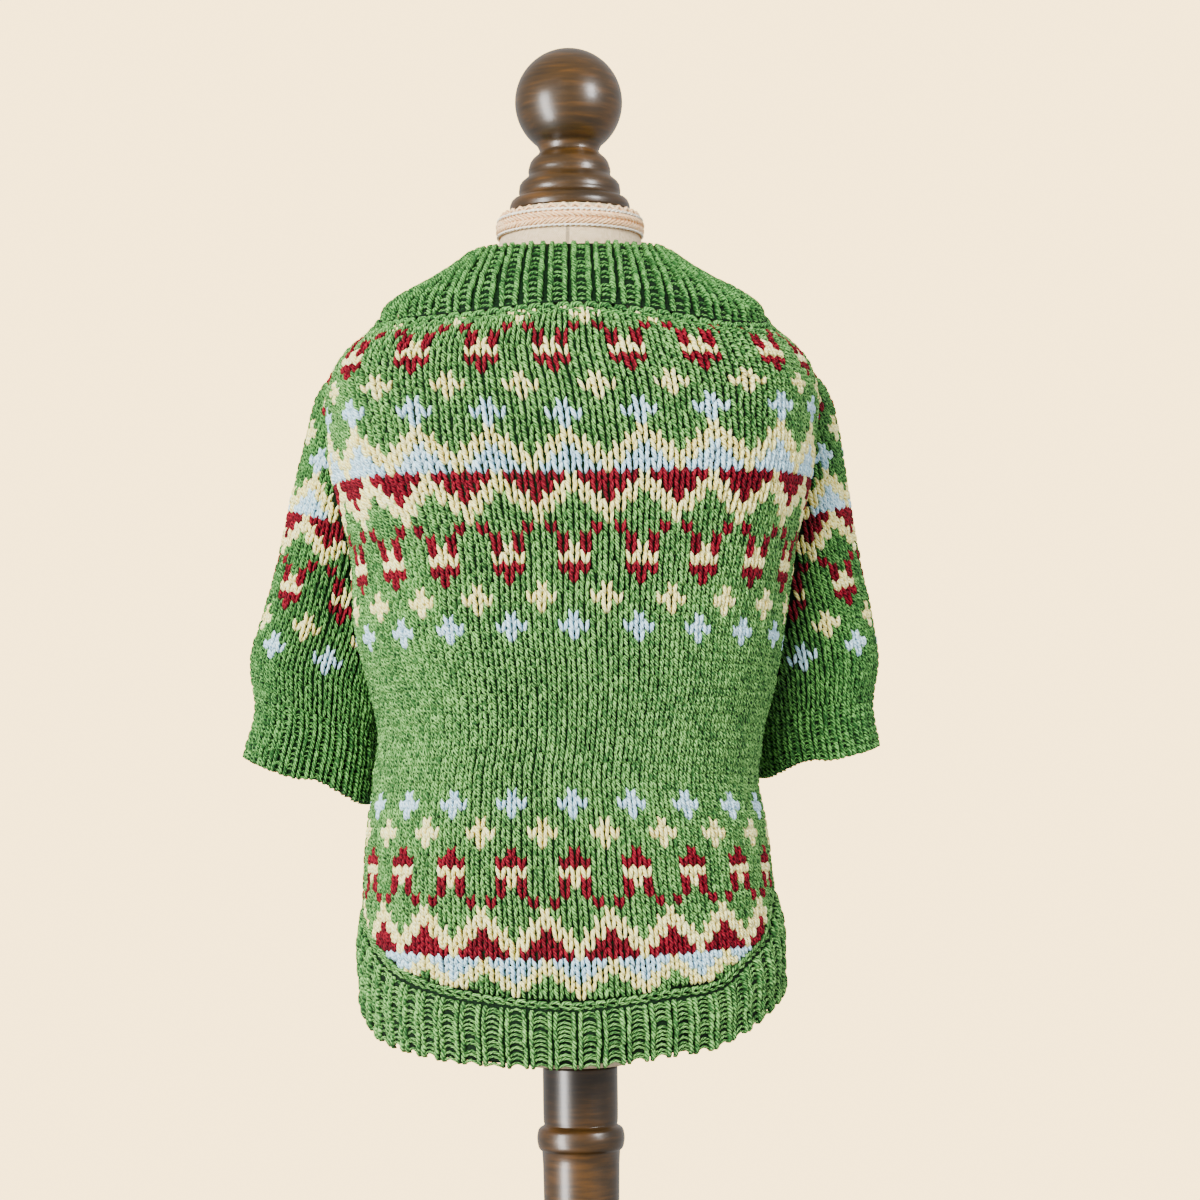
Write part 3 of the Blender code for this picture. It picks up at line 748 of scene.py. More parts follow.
CUFF_RIBS = 30
CUFF_ROWS_OF_RIB = 7
CUFF_DROP_COLUMNS = ("turn", "drop")
CUFF_DROP_ROWS = (
    (0.0, 1.0), (40.0, 1.7), (76.0, 2.1), (104.0, 0.2), (130.0, 1.6), (150.0, 2.5), (180.0, 2.0),
    (270.0, 0.8), (360.0, 1.0),
)
cuff_drop = Curve(CUFF_DROP_ROWS, CUFF_DROP_COLUMNS, "turn", "drop")


def cuff_rib_surface(side):
    """A cuff by rib and row, with an edge that waves down and up round the arm."""
    surface = sleeve_surface(side)

    def rib_surface(rib, row):
        turn = 360.0 * rib / CUFF_RIBS
        share = row / CUFF_ROWS_OF_RIB
        point, middle = surface(turn, CUFF_START + (SLEEVE_END - CUFF_START) * share)
        fall = stacked(0.0, 0.0, -cuff_drop(turn % 360.0) * np.clip(share, 0.0, 1.1) ** 2)
        return point + fall, middle + fall

    return rib_surface


SLEEVE_CLEARANCE = 0.95
SLEEVE_TURNS = np.arange(0.0, 361.0, 7.5)


def sleeve_reach(side, out):
    """For each turn round the sleeve, the station where its line meets the body."""
    stations = np.arange(CUFF_START, 0.0, -0.02)
    turn_grid, station_grid = np.meshgrid(SLEEVE_TURNS, stations, indexing="ij")
    point, middle = sleeve_surface(side)(turn_grid, station_grid)
    away = point - middle
    point = point + away / np.linalg.norm(away, axis=-1, keepdims=True) * out
    half_width = body_half_width(point[..., 2])
    half_depth = body_half_depth(point[..., 2])
    centre_x = body_centre_x(point[..., 2])
    ratio = np.hypot((point[..., 0] - centre_x) / half_width, point[..., 1] / half_depth)
    clear = (ratio - 1.0) * np.minimum(half_width, half_depth) >= SLEEVE_CLEARANCE
    first_hit = np.argmin(clear, axis=1)
    first_hit = np.where(clear.all(axis=1), len(stations), first_hit)
    return stations[np.clip(first_hit - 1, 0, len(stations) - 1)]


reach = {side: {out: sleeve_reach(side, out) for out in (0.0, -PANEL_WALL)} for side in SLEEVE_ROWS}


def sleeve_grounds(side):
    """The shells of a sleeve and its cuff, coloured with the knit ground's painted shade."""
    surface = sleeve_surface(side)
    turns = SLEEVE_TURNS[:-1]
    shares = np.linspace(0.0, 1.0, 21)
    loops = []
    for out in (-STITCH_DEPTH, -PANEL_WALL):
        ends = np.interp(out, (-PANEL_WALL, 0.0), (1.0, 0.0)) * reach[side][-PANEL_WALL][:-1]
        ends = ends + np.interp(out, (-PANEL_WALL, 0.0), (0.0, 1.0)) * reach[side][0.0][:-1]
        start = CUFF_START - 0.03
        stations = start + (ends[:, None] - start) * shares[None]
        turn_grid = np.broadcast_to(turns[:, None], stations.shape)
        point, middle = surface(turn_grid, stations)
        away = point - middle
        loops.append(point + away / np.linalg.norm(away, axis=-1, keepdims=True) * out)
    ring = np.concatenate((loops[0], loops[1][:, ::-1]), axis=1)
    uv = np.zeros((*ring.shape[:2], 2))
    uv[..., 0] = turns[:, None] * 0.37
    uv[..., 1] = np.concatenate((shares, shares[::-1]))[None] * 105.0
    sleeve = quad_mesh(
        "sleeve_ground_" + side, ring.reshape(-1, 3), grid_quads(len(turns), ring.shape[1], True),
        ground, uv.reshape(-1, 2),
    )
    cuff = shell(
        "cuff_ground_" + side, cuff_rib_surface(side), np.linspace(0.0, CUFF_RIBS, 61)[:-1],
        np.linspace(0.0, CUFF_ROWS_OF_RIB - 0.15, 7), -RIB_DEPTH, -RIB_WALL, True, 0.05, 0.1,
    )
    return sleeve, cuff


grounds = {side: sleeve_grounds(side) for side in SLEEVE_ROWS}


# The pattern: each line is a row of stitches, repeated round. g green, r red, c cream, b blue

ZIGZAG = ("cggggg", "ccgggc", "bccgcc", "bbcccb", "bbbcbb", "crrrrr", "ccrrrc", "gccrcc", "ggcccg", "gggcgg")
DOTS = ("ggrgrg", "grgggr", "crgggr", "ccgggc", "rrgggr", "rggggg")
SMALL = ("gggcgg", "ggcccg", "gggcgg")
BLUE = ("bggggg", "bbgggb", "bggggg")
PLAIN = "gggggg"
COLOURS = {"g": "green", "r": "red", "c": "cream", "b": "blue"}

BODY_PATTERN_START = -10
BODY_PATTERN = (
    *ZIGZAG, *DOTS, *SMALL, *BLUE, *ZIGZAG, *DOTS, *SMALL, *BLUE,
    *([PLAIN] * 17), *BLUE, *SMALL, *DOTS[::-1], *ZIGZAG[::-1],
)
SLEEVE_PATTERN = (*DOTS, *SMALL, *BLUE, *ZIGZAG, *DOTS, *SMALL, *BLUE, *([PLAIN] * 5))


def colour_at(pattern, start, row, column):
    place = row - start
    if place < 0 or place >= len(pattern):
        return "green"
    return COLOURS[pattern[place][column % 6]]


# Stitch places on the body

BODY_STITCHES = 120
BODY_FIRST_ROW = -8
BODY_ROW_END = 80
BODY_YARN_HALF_WIDTH = 0.68
SLEEVE_YARN_HALF_WIDTH = 0.63
ROW_ROWS = (
    (-14.0, 382.0), (-6.0, 367.5), (-3.0, 362.9), (0.0, 356.6), (12.0, 325.9), (34.0, 266.5),
    (51.0, 224.2), (54.0, 216.3), (57.0, 207.9), (63.0, 191.5), (68.0, 177.2), (73.0, 166.2), (80.0, 146.0),
)
RISE_ROWS = (
    (140.0, 1.1, -1.4, 1.7), (173.0, 1.1, -1.4, 1.7), (220.0, -0.3, 0.0, -1.7), (270.0, -1.6, 0.0, -2.0),
    (316.0, 3.5, 0.8, 4.0), (330.0, 5.0, 0.0, 6.3), (349.5, 2.5, 0.0, 2.5), (380.0, 1.5, 0.0, 1.5),
)
RISE_COLUMNS = ("z", "left", "front", "right")
RISE_POWER = 1.3
row_z = Curve(ROW_ROWS, ("row", "z"), "row", "z")
rise_left, rise_front, rise_right = (Curve(RISE_ROWS, RISE_COLUMNS, "z", name) for name in RISE_COLUMNS[1:])

# Angles of seven pattern repeats across the front, the middle one at stitch column 0, by height
REPEAT = 6
FRONT_REPEATS = (-3, -2, -1, 0, 1, 2, 3)
FRONT_COLUMNS = ("z", *FRONT_REPEATS)
FRONT_ROWS = (
    (173.0, -52.9, -32.6, -14.6, 2.7, 20.3, 37.3, 56.0),
    (219.9, -50.9, -33.1, -14.9, 2.4, 19.3, 36.4, 55.2),
    (270.3, -48.6, -32.1, -14.5, 1.5, 18.4, 35.6, 51.7),
    (316.0, -58.2, -36.4, -17.6, -0.1, 17.0, 34.9, 56.7),
    (329.7, -60.9, -37.4, -18.6, -1.3, 15.6, 33.1, 56.2),
    (349.5, -66.3, -39.4, -20.8, -4.7, 12.7, 30.7, 54.8),
)
front_angles = [Curve(FRONT_ROWS, FRONT_COLUMNS, "z", repeat) for repeat in FRONT_REPEATS]

TABLE_Z = np.linspace(130.0, 390.0, 131)
TABLE_START = FRONT_REPEATS[0] * REPEAT
TABLE_COLUMNS = np.linspace(TABLE_START, TABLE_START + BODY_STITCHES, 241)


def angle_table():
    """Angles of the stitch columns round the body, for a ladder of heights: even away from the front."""
    turns = np.radians(np.linspace(-180.0, 540.0, 2881))
    knots = np.arange(FRONT_REPEATS[0], FRONT_REPEATS[0] + BODY_STITCHES // REPEAT + 1)
    table = []
    for z in TABLE_Z:
        step = np.hypot(body_half_width(z) * np.cos(turns), body_half_depth(z) * np.sin(turns))
        length = np.concatenate(((0.0,), np.cumsum((step[1:] + step[:-1]) / 2.0)))
        measured = [float(curve(z)) for curve in front_angles]
        front = np.interp(np.radians(measured), turns, length)
        again = np.interp(math.radians(measured[0] + 360.0), turns, length)
        rest = np.linspace(front[-1], again, len(knots) - len(front) + 1)[1:]
        places = list(zip(knots * REPEAT, np.concatenate((front, rest))))
        place = Curve(places, ("column", "length"), "column", "length")
        table.append(np.degrees(np.interp(place(TABLE_COLUMNS), length, turns)))
    return np.array(table)


ANGLES = angle_table()


def angle_of(column, z):
    whole = np.floor((column - TABLE_START) / BODY_STITCHES)
    column = column - whole * BODY_STITCHES - TABLE_START
    i = np.clip((z - TABLE_Z[0]) / (TABLE_Z[1] - TABLE_Z[0]), 0.0, len(TABLE_Z) - 1.001)
    j = np.clip(column / (TABLE_COLUMNS[1] - TABLE_COLUMNS[0]), 0.0, len(TABLE_COLUMNS) - 1.001)
    i0 = i.astype(int)
    j0 = j.astype(int)
    fi = i - i0
    fj = j - j0
    low = ANGLES[i0, j0] * (1 - fj) + ANGLES[i0, j0 + 1] * fj
    high = ANGLES[i0 + 1, j0] * (1 - fj) + ANGLES[i0 + 1, j0 + 1] * fj
    return low * (1 - fi) + high * fi + 360.0 * whole


SEAM_TUCK = 0.25


def body_place(column, row):
    """The angle and height of a stitch place on the body."""
    column, row = np.broadcast_arrays(np.asarray(column, float), np.asarray(row, float))
    level = row_z(row)
    angle = angle_of(column, level)
    turn = np.radians(angle)
    side = np.where(np.sin(turn) < 0.0, rise_left(level), rise_right(level))
    front = np.where(np.cos(turn) > 0.0, rise_front(level), 0.0)
    z = level + side * np.abs(np.sin(turn)) ** RISE_POWER + front * np.cos(turn) ** 2
    return angle, z


def body_knit(column, row):
    """The body's surface by stitch column and row, kept between its two seams."""
    angle, z = body_place(column, row)
    z = np.clip(z, hem_seam_z(angle) + SEAM_TUCK, collar_seam_z(angle) - SEAM_TUCK)
    return body_surface(angle, z)


def inside_loop(loop, x, y):
    """Whether each place lies inside a closed loop."""
    inside = np.zeros(x.shape, bool)
    for k in range(len(loop)):
        x0, y0 = loop[k - 1]
        x1, y1 = loop[k]
        crosses = (y0 > y) != (y1 > y)
        reach_x = x0 + (y - y0) / (y1 - y0 + 1e-12) * (x1 - x0)
        inside ^= crosses & (x < reach_x)
    return inside


def sleeve_loop(side):
    """The loop on the body, in angle and height, where the sleeve meets it."""
    point = sleeve_surface(side)(SLEEVE_TURNS, reach[side][0.0])[0]
    centre_x = body_centre_x(point[:, 2])
    across = (point[:, 0] - centre_x) / body_half_width(point[:, 2])
    back = -point[:, 1] / body_half_depth(point[:, 2])
    return np.stack((np.degrees(np.arctan2(across, back)) % 360.0, point[:, 2]), axis=-1)[:-1]


sleeve_loops = {side: sleeve_loop(side) for side in SLEEVE_ROWS}


# Legs of a stitch: column and row of each stop, from its head to its foot, and how high it stands

LEG_SHARES = np.array((0.0, 0.36, 0.74, 1.0))
LEG_ROWS = -0.15 + 1.45 * LEG_SHARES
LEFT_LEG = -0.40 + 0.30 * LEG_SHARES
RIGHT_LEG = 0.36 - 0.19 * LEG_SHARES
LEG_RISE = np.array((0.55, 1.0, 0.95, 0.25))
LEG_LEVEL = (LEG_RISE - 1.0) * STITCH_DEPTH
LEG_WIDTH = np.array((0.75, 1.0, 0.95, 0.6))


def lay_stitches(yarns, surface, columns, rows, colours, half_width, sign=1.0):
    """Both legs of each stitch, into the yarn of its colour."""
    for colour in sorted(set(colours)):
        chosen = np.array([c == colour for c in colours])
        column = columns[chosen].astype(float)
        row = rows[chosen].astype(float)
        for path in (LEFT_LEG, RIGHT_LEG):
            wander = rng.normal(0.0, 0.03, (len(column), 1))
            u = column[:, None] + sign * (path[None] + wander)
            v = row[:, None] + LEG_ROWS[None] + rng.normal(0.0, 0.05, (len(row), 1))
            level = LEG_LEVEL[None] + rng.normal(0.0, 0.12, (len(row), 1))
            width = LEG_WIDTH[None] * half_width * rng.normal(1.0, 0.07, (len(row), 1))
            yarns[colour].lay(surface, u, v, level, width, STITCH_DEPTH, 0.1, 0.1)


def make_pieces(prefix, yarns, made_of):
    return [
        made
        for made in (yarn.piece(prefix + "_" + colour, made_of[colour]) for colour, yarn in yarns.items())
        if made is not None
    ]


def knit_body():
    all_rows = np.arange(BODY_FIRST_ROW, BODY_ROW_END)
    columns, rows = np.meshgrid(np.arange(BODY_STITCHES), all_rows, indexing="ij")
    columns = columns.ravel()
    rows = rows.ravel()
    angle, z = body_place(columns, rows + 0.6)
    keep = (z < collar_seam_z(angle) - 0.1) & (z > hem_seam_z(angle) + 0.1)
    for side in SLEEVE_ROWS:
        keep &= ~inside_loop(sleeve_loops[side], angle % 360.0, z)
    past_seam = np.abs(wrapped(angle)) - SIDE_SEAM_ANGLE
    keep &= ~((past_seam > 0.0) & (past_seam < armhole_scoop(z)))
    pieces = {}
    counts = {}
    for name, chosen in (("back", past_seam <= 0.0), ("belly", past_seam > 0.0)):
        chosen = chosen & keep
        colours = [
            colour_at(BODY_PATTERN, BODY_PATTERN_START, row, column)
            for row, column in zip(rows[chosen], columns[chosen])
        ]
        yarns = {colour: Yarn() for colour in YARNS}
        lay_stitches(yarns, body_knit, columns[chosen], rows[chosen], colours, BODY_YARN_HALF_WIDTH)
        pieces[name] = make_pieces(name + "_stitches", yarns, YARNS)
        counts[name] = int(chosen.sum())
    return pieces, counts


SLEEVE_STITCHES = 42
SLEEVE_ROW_HEIGHT = 2.65
SLEEVE_COLUMN_TURN = 48.0
ROWS_ABOVE_THE_PATTERN = 14


def station_of_row(side):
    """Stations of the sleeve's rows, by their distance along its outer line from the cuff."""
    stations = np.linspace(0.0, SLEEVE_END, 401)
    point = sleeve_surface(side)(np.zeros_like(stations), stations)[0]
    length = np.concatenate(((0.0,), np.cumsum(np.linalg.norm(np.diff(point, axis=0), axis=-1))))
    cuff_length = np.interp(CUFF_START, stations, length)

    def station(row):
        return np.interp(cuff_length - (len(SLEEVE_PATTERN) - row) * SLEEVE_ROW_HEIGHT, length, stations)

    return station


def knit_sleeve(side):
    surface = sleeve_surface(side)
    station = station_of_row(side)
    sign = 1.0 if side == "left" else -1.0

    def knit(column, row):
        turn = SLEEVE_COLUMN_TURN + column * 360.0 / SLEEVE_STITCHES
        return surface(turn, station(row))

    all_rows = np.arange(-ROWS_ABOVE_THE_PATTERN, len(SLEEVE_PATTERN))
    columns, rows = np.meshgrid(np.arange(SLEEVE_STITCHES), all_rows, indexing="ij")
    columns = columns.ravel()
    rows = rows.ravel()
    turn = (SLEEVE_COLUMN_TURN + columns * 360.0 / SLEEVE_STITCHES) % 360.0
    limit = np.interp(turn, SLEEVE_TURNS, reach[side][0.0])
    keep = station(rows + 0.5) > limit
    colours = [colour_at(SLEEVE_PATTERN, 0, row, column) for row, column in zip(rows[keep], columns[keep])]
    yarns = {colour: Yarn() for colour in YARNS}
    lay_stitches(yarns, knit, columns[keep], rows[keep], colours, SLEEVE_YARN_HALF_WIDTH, sign)
    return make_pieces("sleeve_" + side + "_stitches", yarns, SLEEVE_YARNS), int(keep.sum())


body_pieces, stitch_counts = knit_body()
sleeve_pieces = {}
for side in SLEEVE_ROWS:
    sleeve_pieces[side], stitch_counts[side] = knit_sleeve(side)


# Ribs: the surface's u counts ribs and its v counts rows

def lay_rib(yarn, surface, ribs, rows, leg, bar, overhang):
    """Knit columns of two legs each, with the arched purl bars between them.

    leg is (half width, gap between the two as a share of a rib), bar is (number in each row, level,
    half width, bow), and overhang is how far the legs pass the last row.
    """
    leg_width, gap = leg
    bars, bar_level, bar_width, bow_height = bar
    rib, row = np.meshgrid(np.arange(ribs), np.arange(rows), indexing="ij")
    rib = rib.ravel().astype(float)
    row = row.ravel().astype(float)
    share = np.array((0.0, 0.35, 0.75, 1.0))
    for sign in (-1.0, 1.0):
        path = sign * gap * (0.5 + 0.06 * (1.0 - 2.0 * share))
        u = rib[:, None] + path[None] + rng.normal(0.0, 0.018, (len(rib), 1))
        v = row[:, None] - 0.1 + 1.25 * share[None] + rng.normal(0.0, 0.03, (len(rib), 1))
        v = np.clip(v, 0.0, rows + overhang)
        level = np.array((-0.5, 0.0, -0.05, -0.85))[None] + rng.normal(0.0, 0.1, (len(rib), 1))
        width = np.array((0.8, 1.0, 0.95, 0.7))[None] * leg_width * rng.normal(1.0, 0.07, (len(rib), 1))
        yarn.lay(surface, u, v, level, width, RIB_DEPTH, 0.05, 0.1)
    for k in range(bars):
        share = np.linspace(0.0, 1.0, 5)
        bow = np.sin(math.pi * share)
        u = rib[:, None] + gap * 0.5 + (1.0 - gap) * share[None]
        centre = row[:, None] + (k + 0.6) / bars + rng.normal(0.0, 0.08, (len(rib), 1))
        v = np.clip(centre - bow_height * (bow[None] - 0.5), 0.0, rows)
        level = bar_level - 0.5 * (1.0 - bow[None]) + rng.normal(0.0, 0.17, (len(rib), 1))
        width = bar_width * (0.75 + 0.25 * bow[None]) * rng.normal(1.0, 0.06, (len(rib), 1))
        yarn.lay(surface, u, v, level, width, RIB_DEPTH * 0.6, 0.05, 0.1)


HEM_RIBS = 50
HEM_CROWDING = 0.13
HEM_RIB_PHASE = 0.22
HEM_ROWS_OF_RIB = 6
COLLAR_RIBS = 54
COLLAR_ROWS_OF_RIB = 12
HEM_CHAIN_SHARE = 0.12
COLLAR_CHAIN_SHARE = 0.012
HEM_LOOK = {"leg": (0.84, 0.27), "bar": (2, -0.55, 0.46, 0.5), "overhang": 0.2}
COLLAR_LOOK = {"leg": (0.98, 0.4), "bar": (1, -0.85, 0.55, 0.4), "overhang": 0.0}
CUFF_LOOK = {"leg": (0.84, 0.4), "bar": (2, -0.8, 0.42, 0.3), "overhang": 0.15}


def hem_rib_surface(rib, row):
    along = HEM_CHAIN_SHARE + (1.0 - HEM_CHAIN_SHARE) * row / HEM_ROWS_OF_RIB
    turn = TAU * (rib + HEM_RIB_PHASE) / HEM_RIBS
    return hem_surface(np.degrees(turn - HEM_CROWDING * np.sin(turn)), along)


def collar_rib_surface(rib, row):
    along = COLLAR_CHAIN_SHARE + (1.0 - COLLAR_CHAIN_SHARE) * (1.0 - row / COLLAR_ROWS_OF_RIB)
    return collar_surface(360.0 * rib / COLLAR_RIBS, along)


hem_yarn = Yarn()
lay_rib(hem_yarn, hem_rib_surface, HEM_RIBS, HEM_ROWS_OF_RIB, **HEM_LOOK)
hem_ribs = hem_yarn.piece("hem_rib_stitches", green_yarn)
collar_yarn = Yarn()
lay_rib(collar_yarn, collar_rib_surface, COLLAR_RIBS, COLLAR_ROWS_OF_RIB, **COLLAR_LOOK)
# the collar's green is the darker copy of the green yarn: painted shade
collar_ribs = collar_yarn.piece("collar_rib_stitches", shaded_green_yarn)
cuff_ribs = {}
for side in SLEEVE_ROWS:
    cuff_yarn = Yarn()
    lay_rib(cuff_yarn, cuff_rib_surface(side), CUFF_RIBS, CUFF_ROWS_OF_RIB, **CUFF_LOOK)
    # the cuff's green is the darker copy of the green yarn: painted shade
    cuff_ribs[side] = cuff_yarn.piece("cuff_rib_stitches_" + side, shaded_green_yarn)


# Linking chains along the two seams

def lay_chain(yarn, surface, links, half_width, rise=0.0):
    """A row of linked loops along a seam: a hump over each link and the strand that leads to the next."""
    link = np.arange(links, dtype=float)
    strands = (
        ((-0.12, 0.28, 0.8, 1.15), (-0.55, 0.4, 0.45, -0.6), (-0.9, 0.1, 0.15, -0.8), 1.0),
        ((0.0, 0.35, 0.7, 1.05), (-0.2, -0.75, -1.05, -0.9), (-0.7, -0.35, -0.45, -0.9), 0.7),
    )
    for forward, aside, levels, share in strands:
        u = link[:, None] + np.array(forward)[None] + rng.normal(0.0, 0.05, (links, 1))
        v = np.array(aside)[None] + rng.normal(0.0, 0.08, (links, 1)) + np.zeros_like(u)
        level = rise + np.array(levels)[None] + rng.normal(0.0, 0.1, (links, 1))
        width = share * half_width * np.array((0.8, 1.0, 1.0, 0.75))[None] * rng.normal(1.0, 0.08, (links, 1))
        yarn.lay(surface, u, v, level, width, 1.2, 0.05, 0.1)


HEM_LINKS = 120
COLLAR_LINKS = 96


def hem_chain_surface(link, down):
    return hem_surface(360.0 * link / HEM_LINKS, 0.02 - 0.05 * down)


def collar_chain_surface(link, up):
    angle = 360.0 * link / COLLAR_LINKS
    return body_surface(angle, collar_seam_z(angle) - 0.9 + 1.3 * up)


hem_chain_yarn = Yarn()
lay_chain(hem_chain_yarn, hem_chain_surface, HEM_LINKS, 0.7)
hem_chain = hem_chain_yarn.piece("hem_seam_chain", green_yarn)
collar_chain_yarn = Yarn()
lay_chain(collar_chain_yarn, collar_chain_surface, COLLAR_LINKS, 0.95, 0.55)
# the collar chain's green is the darker copy of the green yarn: painted shade
collar_chain = collar_chain_yarn.piece("collar_seam_chain", shaded_green_yarn)


# The dress form: linen body, braid, turned wood

def ellipse_surface(half_width, half_depth, centre_x, heights):
    """A smooth surface through level ellipses, by angle and height."""
    rows = list(zip(heights, half_width, half_depth, centre_x))
    columns = ("z", "half_width", "half_depth", "centre_x")
    wide = Curve(rows, columns, "z", "half_width")
    deep = Curve(rows, columns, "z", "half_depth")
    middle = Curve(rows, columns, "z", "centre_x")

    def surface(angle, z):
        turn = np.radians(angle)
        centre = middle(z)
        return stacked(centre + wide(z) * np.sin(turn), -deep(z) * np.cos(turn), z), stacked(centre, 0.0, z)

    return surface


def closed_stack(name, rings, made_of, uv):
    """A closed solid from level rings of points, with small flat caps at both ends."""
    count, around = rings.shape[:2]
    quads = grid_quads(count, around)
    points = rings.reshape(-1, 3)
    ends = np.stack((rings[0].mean(axis=0), rings[-1].mean(axis=0)))
    points = np.concatenate((points, ends))
    uv = np.concatenate((uv.reshape(-1, 2), uv[0].mean(axis=0)[None], uv[-1].mean(axis=0)[None]))
    j = np.arange(0, around, 2)
    low = np.stack((np.full_like(j, count * around), (j + 2) % around, j + 1, j), axis=-1)
    top = (count - 1) * around
    high = np.stack((np.full_like(j, count * around + 1), top + j, top + j + 1, top + (j + 2) % around), -1)
    return quad_mesh(name, points, np.concatenate((quads, low, high)), made_of, uv)


FORM_GAP_ROWS = (
    (356.0, 2.3), (349.0, 1.4), (340.0, 1.1), (325.0, 1.6), (296.0, 2.0),
    (238.0, 2.2), (213.0, 4.5), (190.0, 8.5), (160.0, 10.5),
)
FORM_NECK_ROWS = (
    (397.3, 18.2, 18.2), (391.0, 20.4, 20.4), (388.0, 21.6, 21.6), (379.0, 22.8, 22.4),
    (372.0, 28.0, 26.0), (366.0, 41.0, 36.5), (361.0, 54.0, 46.5),
)
FORM_LOW_ROWS = (
    (154.0, 45.0, 35.0),
    (150.0, 38.0, 30.0),
    (147.0, 28.0, 23.0),
    (143.5, 18.0, 16.0),
    (141.5, 14.0, 13.0),
)
FORM_LOW_CENTRE_X = -1.0
FORM_HEIGHTS = (355.0, 349.0, 343.0, 333.0, 318.0, 300.0, 275.0, 250.0, 232.0, 213.0, 190.0, 165.0)
form_gap = Curve(FORM_GAP_ROWS, ("z", "gap"), "z", "gap")


def make_form():
    rows = [(*row, 0.0) for row in FORM_NECK_ROWS]
    for z in FORM_HEIGHTS:
        inside = PANEL_WALL + float(form_gap(z))
        wide = float(body_half_width(z)) - inside
        deep = float(body_half_depth(z)) - inside
        rows.append((z, wide, deep, float(body_centre_x(z))))
    rows += [(*row, FORM_LOW_CENTRE_X) for row in FORM_LOW_ROWS]
    heights, wide, deep, middle = zip(*rows)
    surface = ellipse_surface(wide, deep, middle, heights)
    levels = np.unique(np.concatenate((np.linspace(heights[-1], heights[0], 90), heights)))
    around = 120
    angle_grid, z_grid = np.meshgrid(np.linspace(0.0, 360.0, around + 1)[:-1], levels)
    rings = surface(angle_grid, z_grid)[0]
    uv = np.stack((angle_grid * 0.6, z_grid), axis=-1)
    return closed_stack("linen_form", rings, linen, uv)


def lathe(name, outline, around=96, rounds=2):
    """A turned piece from its outline, radius and height from the foot up, its corners eased."""
    outline = np.array(outline)
    for _ in range(rounds):
        eased = [outline[0]]
        for first, second in zip(outline[:-1], outline[1:]):
            eased += [first * 0.8 + second * 0.2, first * 0.2 + second * 0.8]
        outline = np.array([*eased, outline[-1]])
    turns = np.linspace(0.0, TAU, around + 1)[:-1]
    x = outline[:, 0, None] * np.sin(turns)[None]
    y = -outline[:, 0, None] * np.cos(turns)[None]
    z = np.broadcast_to(outline[:, 1, None], x.shape)
    uv = np.stack((np.broadcast_to(turns[None] * 20.0, x.shape), z), axis=-1)
    return closed_stack(name, np.stack((x, y, z), axis=-1), walnut, uv)


FINIAL_TIERS = (
    (17.9, 397.65), (18.2, 399.2), (17.4, 401.2), (15.0, 402.3), (15.4, 403.6), (15.0, 406.2),
    (12.2, 408.6), (12.5, 410.2), (11.6, 413.2), (8.7, 415.8),
)
BALL_RADIUS = 16.2
BALL_CENTRE_Z = 431.0
POLE_ROWS = (
    (11.2, 18.35), (11.2, 115.6), (12.7, 116.9), (13.2, 119.8), (12.7, 122.7), (10.8, 123.8),
    (11.2, 124.8), (11.2, 141.15),
)
BASE_ROWS = (
    (86.0, 0.0), (88.0, 1.6), (88.0, 7.0), (85.5, 10.0), (83.5, 11.0), (82.0, 14.0),
    (78.0, 16.2), (30.0, 17.2), (17.0, 18.0),
)


def ball_outline():
    start = math.acos(-math.sqrt(1.0 - (FINIAL_TIERS[-1][0] / BALL_RADIUS) ** 2))
    angles = np.linspace(start, 0.03, 34)[1:]
    return tuple(
        (BALL_RADIUS * math.sin(a), BALL_CENTRE_Z + BALL_RADIUS * math.cos(a)) for a in angles
    )


TRIM_ROWS = ((390.7, 21.6), (392.5, 21.9), (394.4, 21.5), (396.4, 20.6), (398.4, 19.7))
trim_radius = Curve(TRIM_ROWS, ("z", "radius"), "z", "radius")
BRAID_LOW_Z = 389.8
BRAID_TOP_Z = 395.6
BRAID_STRANDS = 84
BRAID_STRAND_ROWS = ((391.4, 1.0), (393.3, -1.0))
BRAID_CORD_ROWS = ((394.7, 0.5, 0.34), (390.1, 0.4, 0.3))
PICOTS = 36
PICOT_FOOT_Z = 394.9
PICOT_HEIGHT = 1.6


def trim_surface(angle, z):
    turn = np.radians(angle)
    radius = trim_radius(z)
    return stacked(radius * np.sin(turn), -radius * np.cos(turn), z), stacked(0.0, 0.0, z - 4.0)


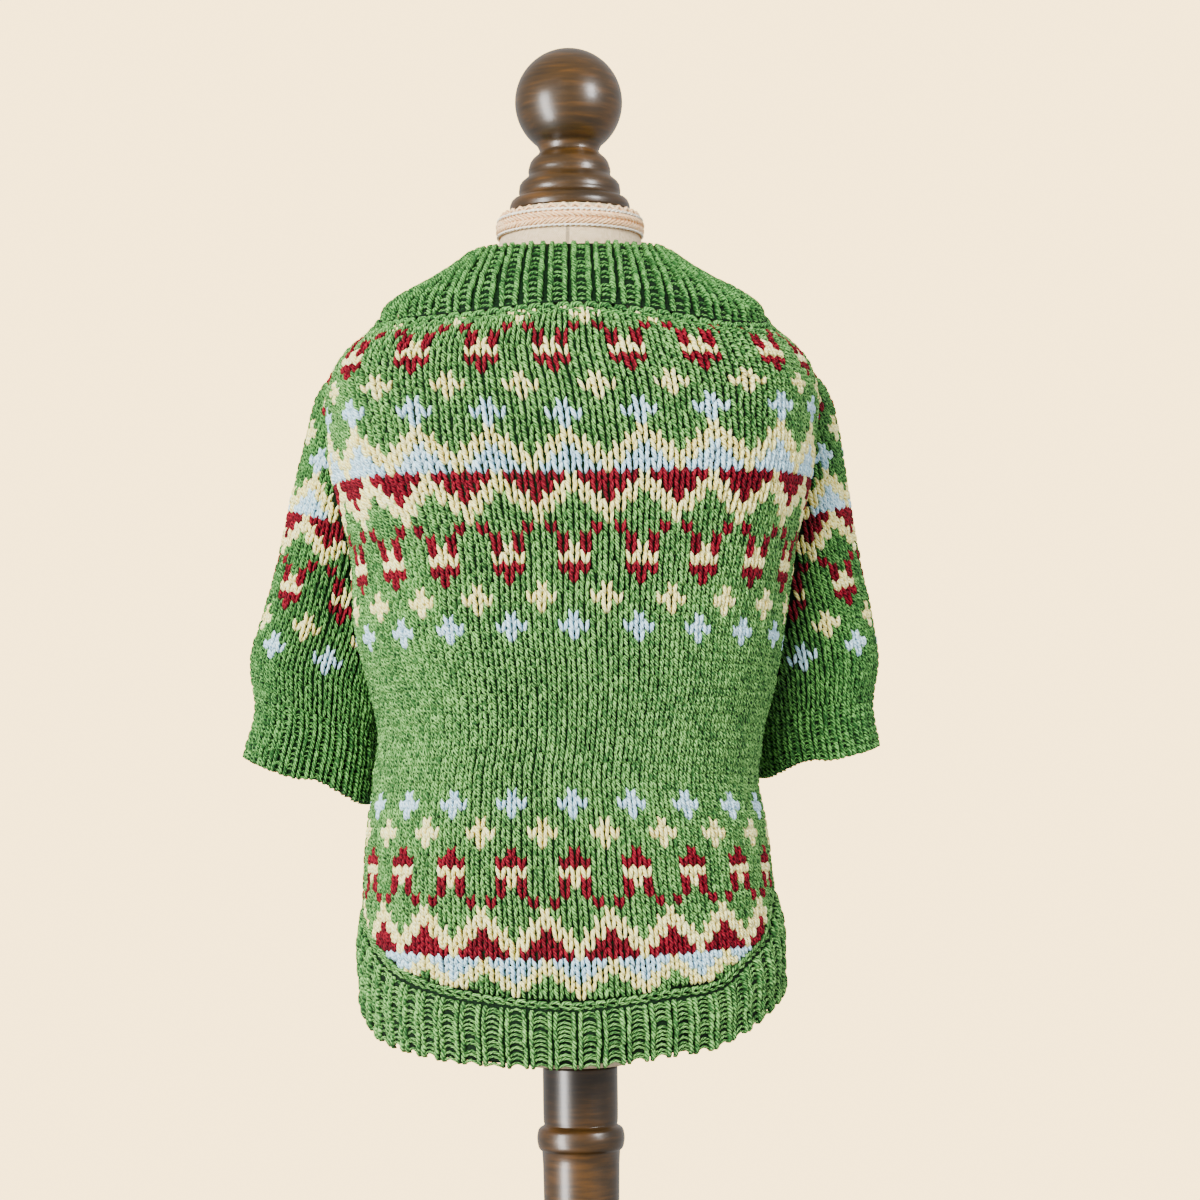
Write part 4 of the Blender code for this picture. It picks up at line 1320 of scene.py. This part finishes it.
def make_trim():
    """The gimp braid: a ground band, two rows of slanting strands, edge cords and picot loops."""
    band = shell(
        "braid_ground", trim_surface, np.linspace(0.0, 360.0, 97)[:-1],
        np.linspace(BRAID_LOW_Z, BRAID_TOP_Z, 9), -0.1, -0.8, True, 0.5, 0.1,
    )
    band.data.materials.clear()
    band.data.materials.append(peach_yarn)
    peach = Yarn()
    white = Yarn()
    step = 360.0 / BRAID_STRANDS
    strand = np.arange(BRAID_STRANDS, dtype=float)[:, None] * step
    share = np.linspace(0.0, 1.0, 5)[None]
    bow = np.sin(math.pi * share)
    flat = np.zeros_like(strand)
    for middle, rise in BRAID_STRAND_ROWS:
        u = strand + step * 2.2 * (share - 0.5)
        v = middle + rise * (share - 0.5) * 1.7 + flat
        peach.lay(trim_surface, u, v, 0.2 + 0.5 * bow + flat, 0.42, 0.7, 0.4, 0.1)
    for height, level_up, half_width in BRAID_CORD_ROWS:
        turns = strand + step * 1.3 * share
        v = height + 0.5 * (share - 0.5) + flat
        white.lay(trim_surface, turns, v, level_up + 0.25 * bow + flat, half_width, 0.6, 0.4, 0.1)
    share = np.linspace(0.0, 1.0, 9)[None]
    picot = np.arange(PICOTS, dtype=float)[:, None] * 360.0 / PICOTS
    u = picot + 360.0 / PICOTS * (share + 0.12 * np.sin(TAU * share))
    v = PICOT_FOOT_Z + PICOT_HEIGHT * np.sin(math.pi * share) ** 0.5 + np.zeros_like(picot)
    level = 0.3 + 0.2 * np.sin(math.pi * share) + np.zeros_like(picot)
    peach.lay(trim_surface, u, v, level, 0.55, 0.6, 0.4, 0.1)
    return [band, peach.piece("braid_peach", peach_yarn), white.piece("braid_white", white_yarn)]


linen_form = make_form()
trim_pieces = make_trim()
finial = lathe("finial_turned", FINIAL_TIERS + ball_outline(), rounds=1)
pole = lathe("pole_turned", POLE_ROWS)
base = lathe("base_turned", BASE_ROWS)


# The solids that the pieces stand for, each hidden

def stand_for(pieces, node):
    for piece in pieces:
        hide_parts(node)


stand_for([back_ground, *body_pieces["back"]], "back_panel")
stand_for([belly_ground, *body_pieces["belly"]], "belly_panel")
stand_for([hem_ground, hem_ribs, hem_chain], "hem_rib")
stand_for([collar_ground, collar_ribs, collar_chain], "collar_rib")
for side in SLEEVE_ROWS:
    stand_for([grounds[side][0], *sleeve_pieces[side]], "sleeve_" + side)
    stand_for([grounds[side][1], cuff_ribs[side]], "cuff_" + side)
stand_for([linen_form], "form_torso")
stand_for(trim_pieces, "neck_trim")
stand_for([finial], "finial")
stand_for([pole], "pole")
stand_for([base], "base")
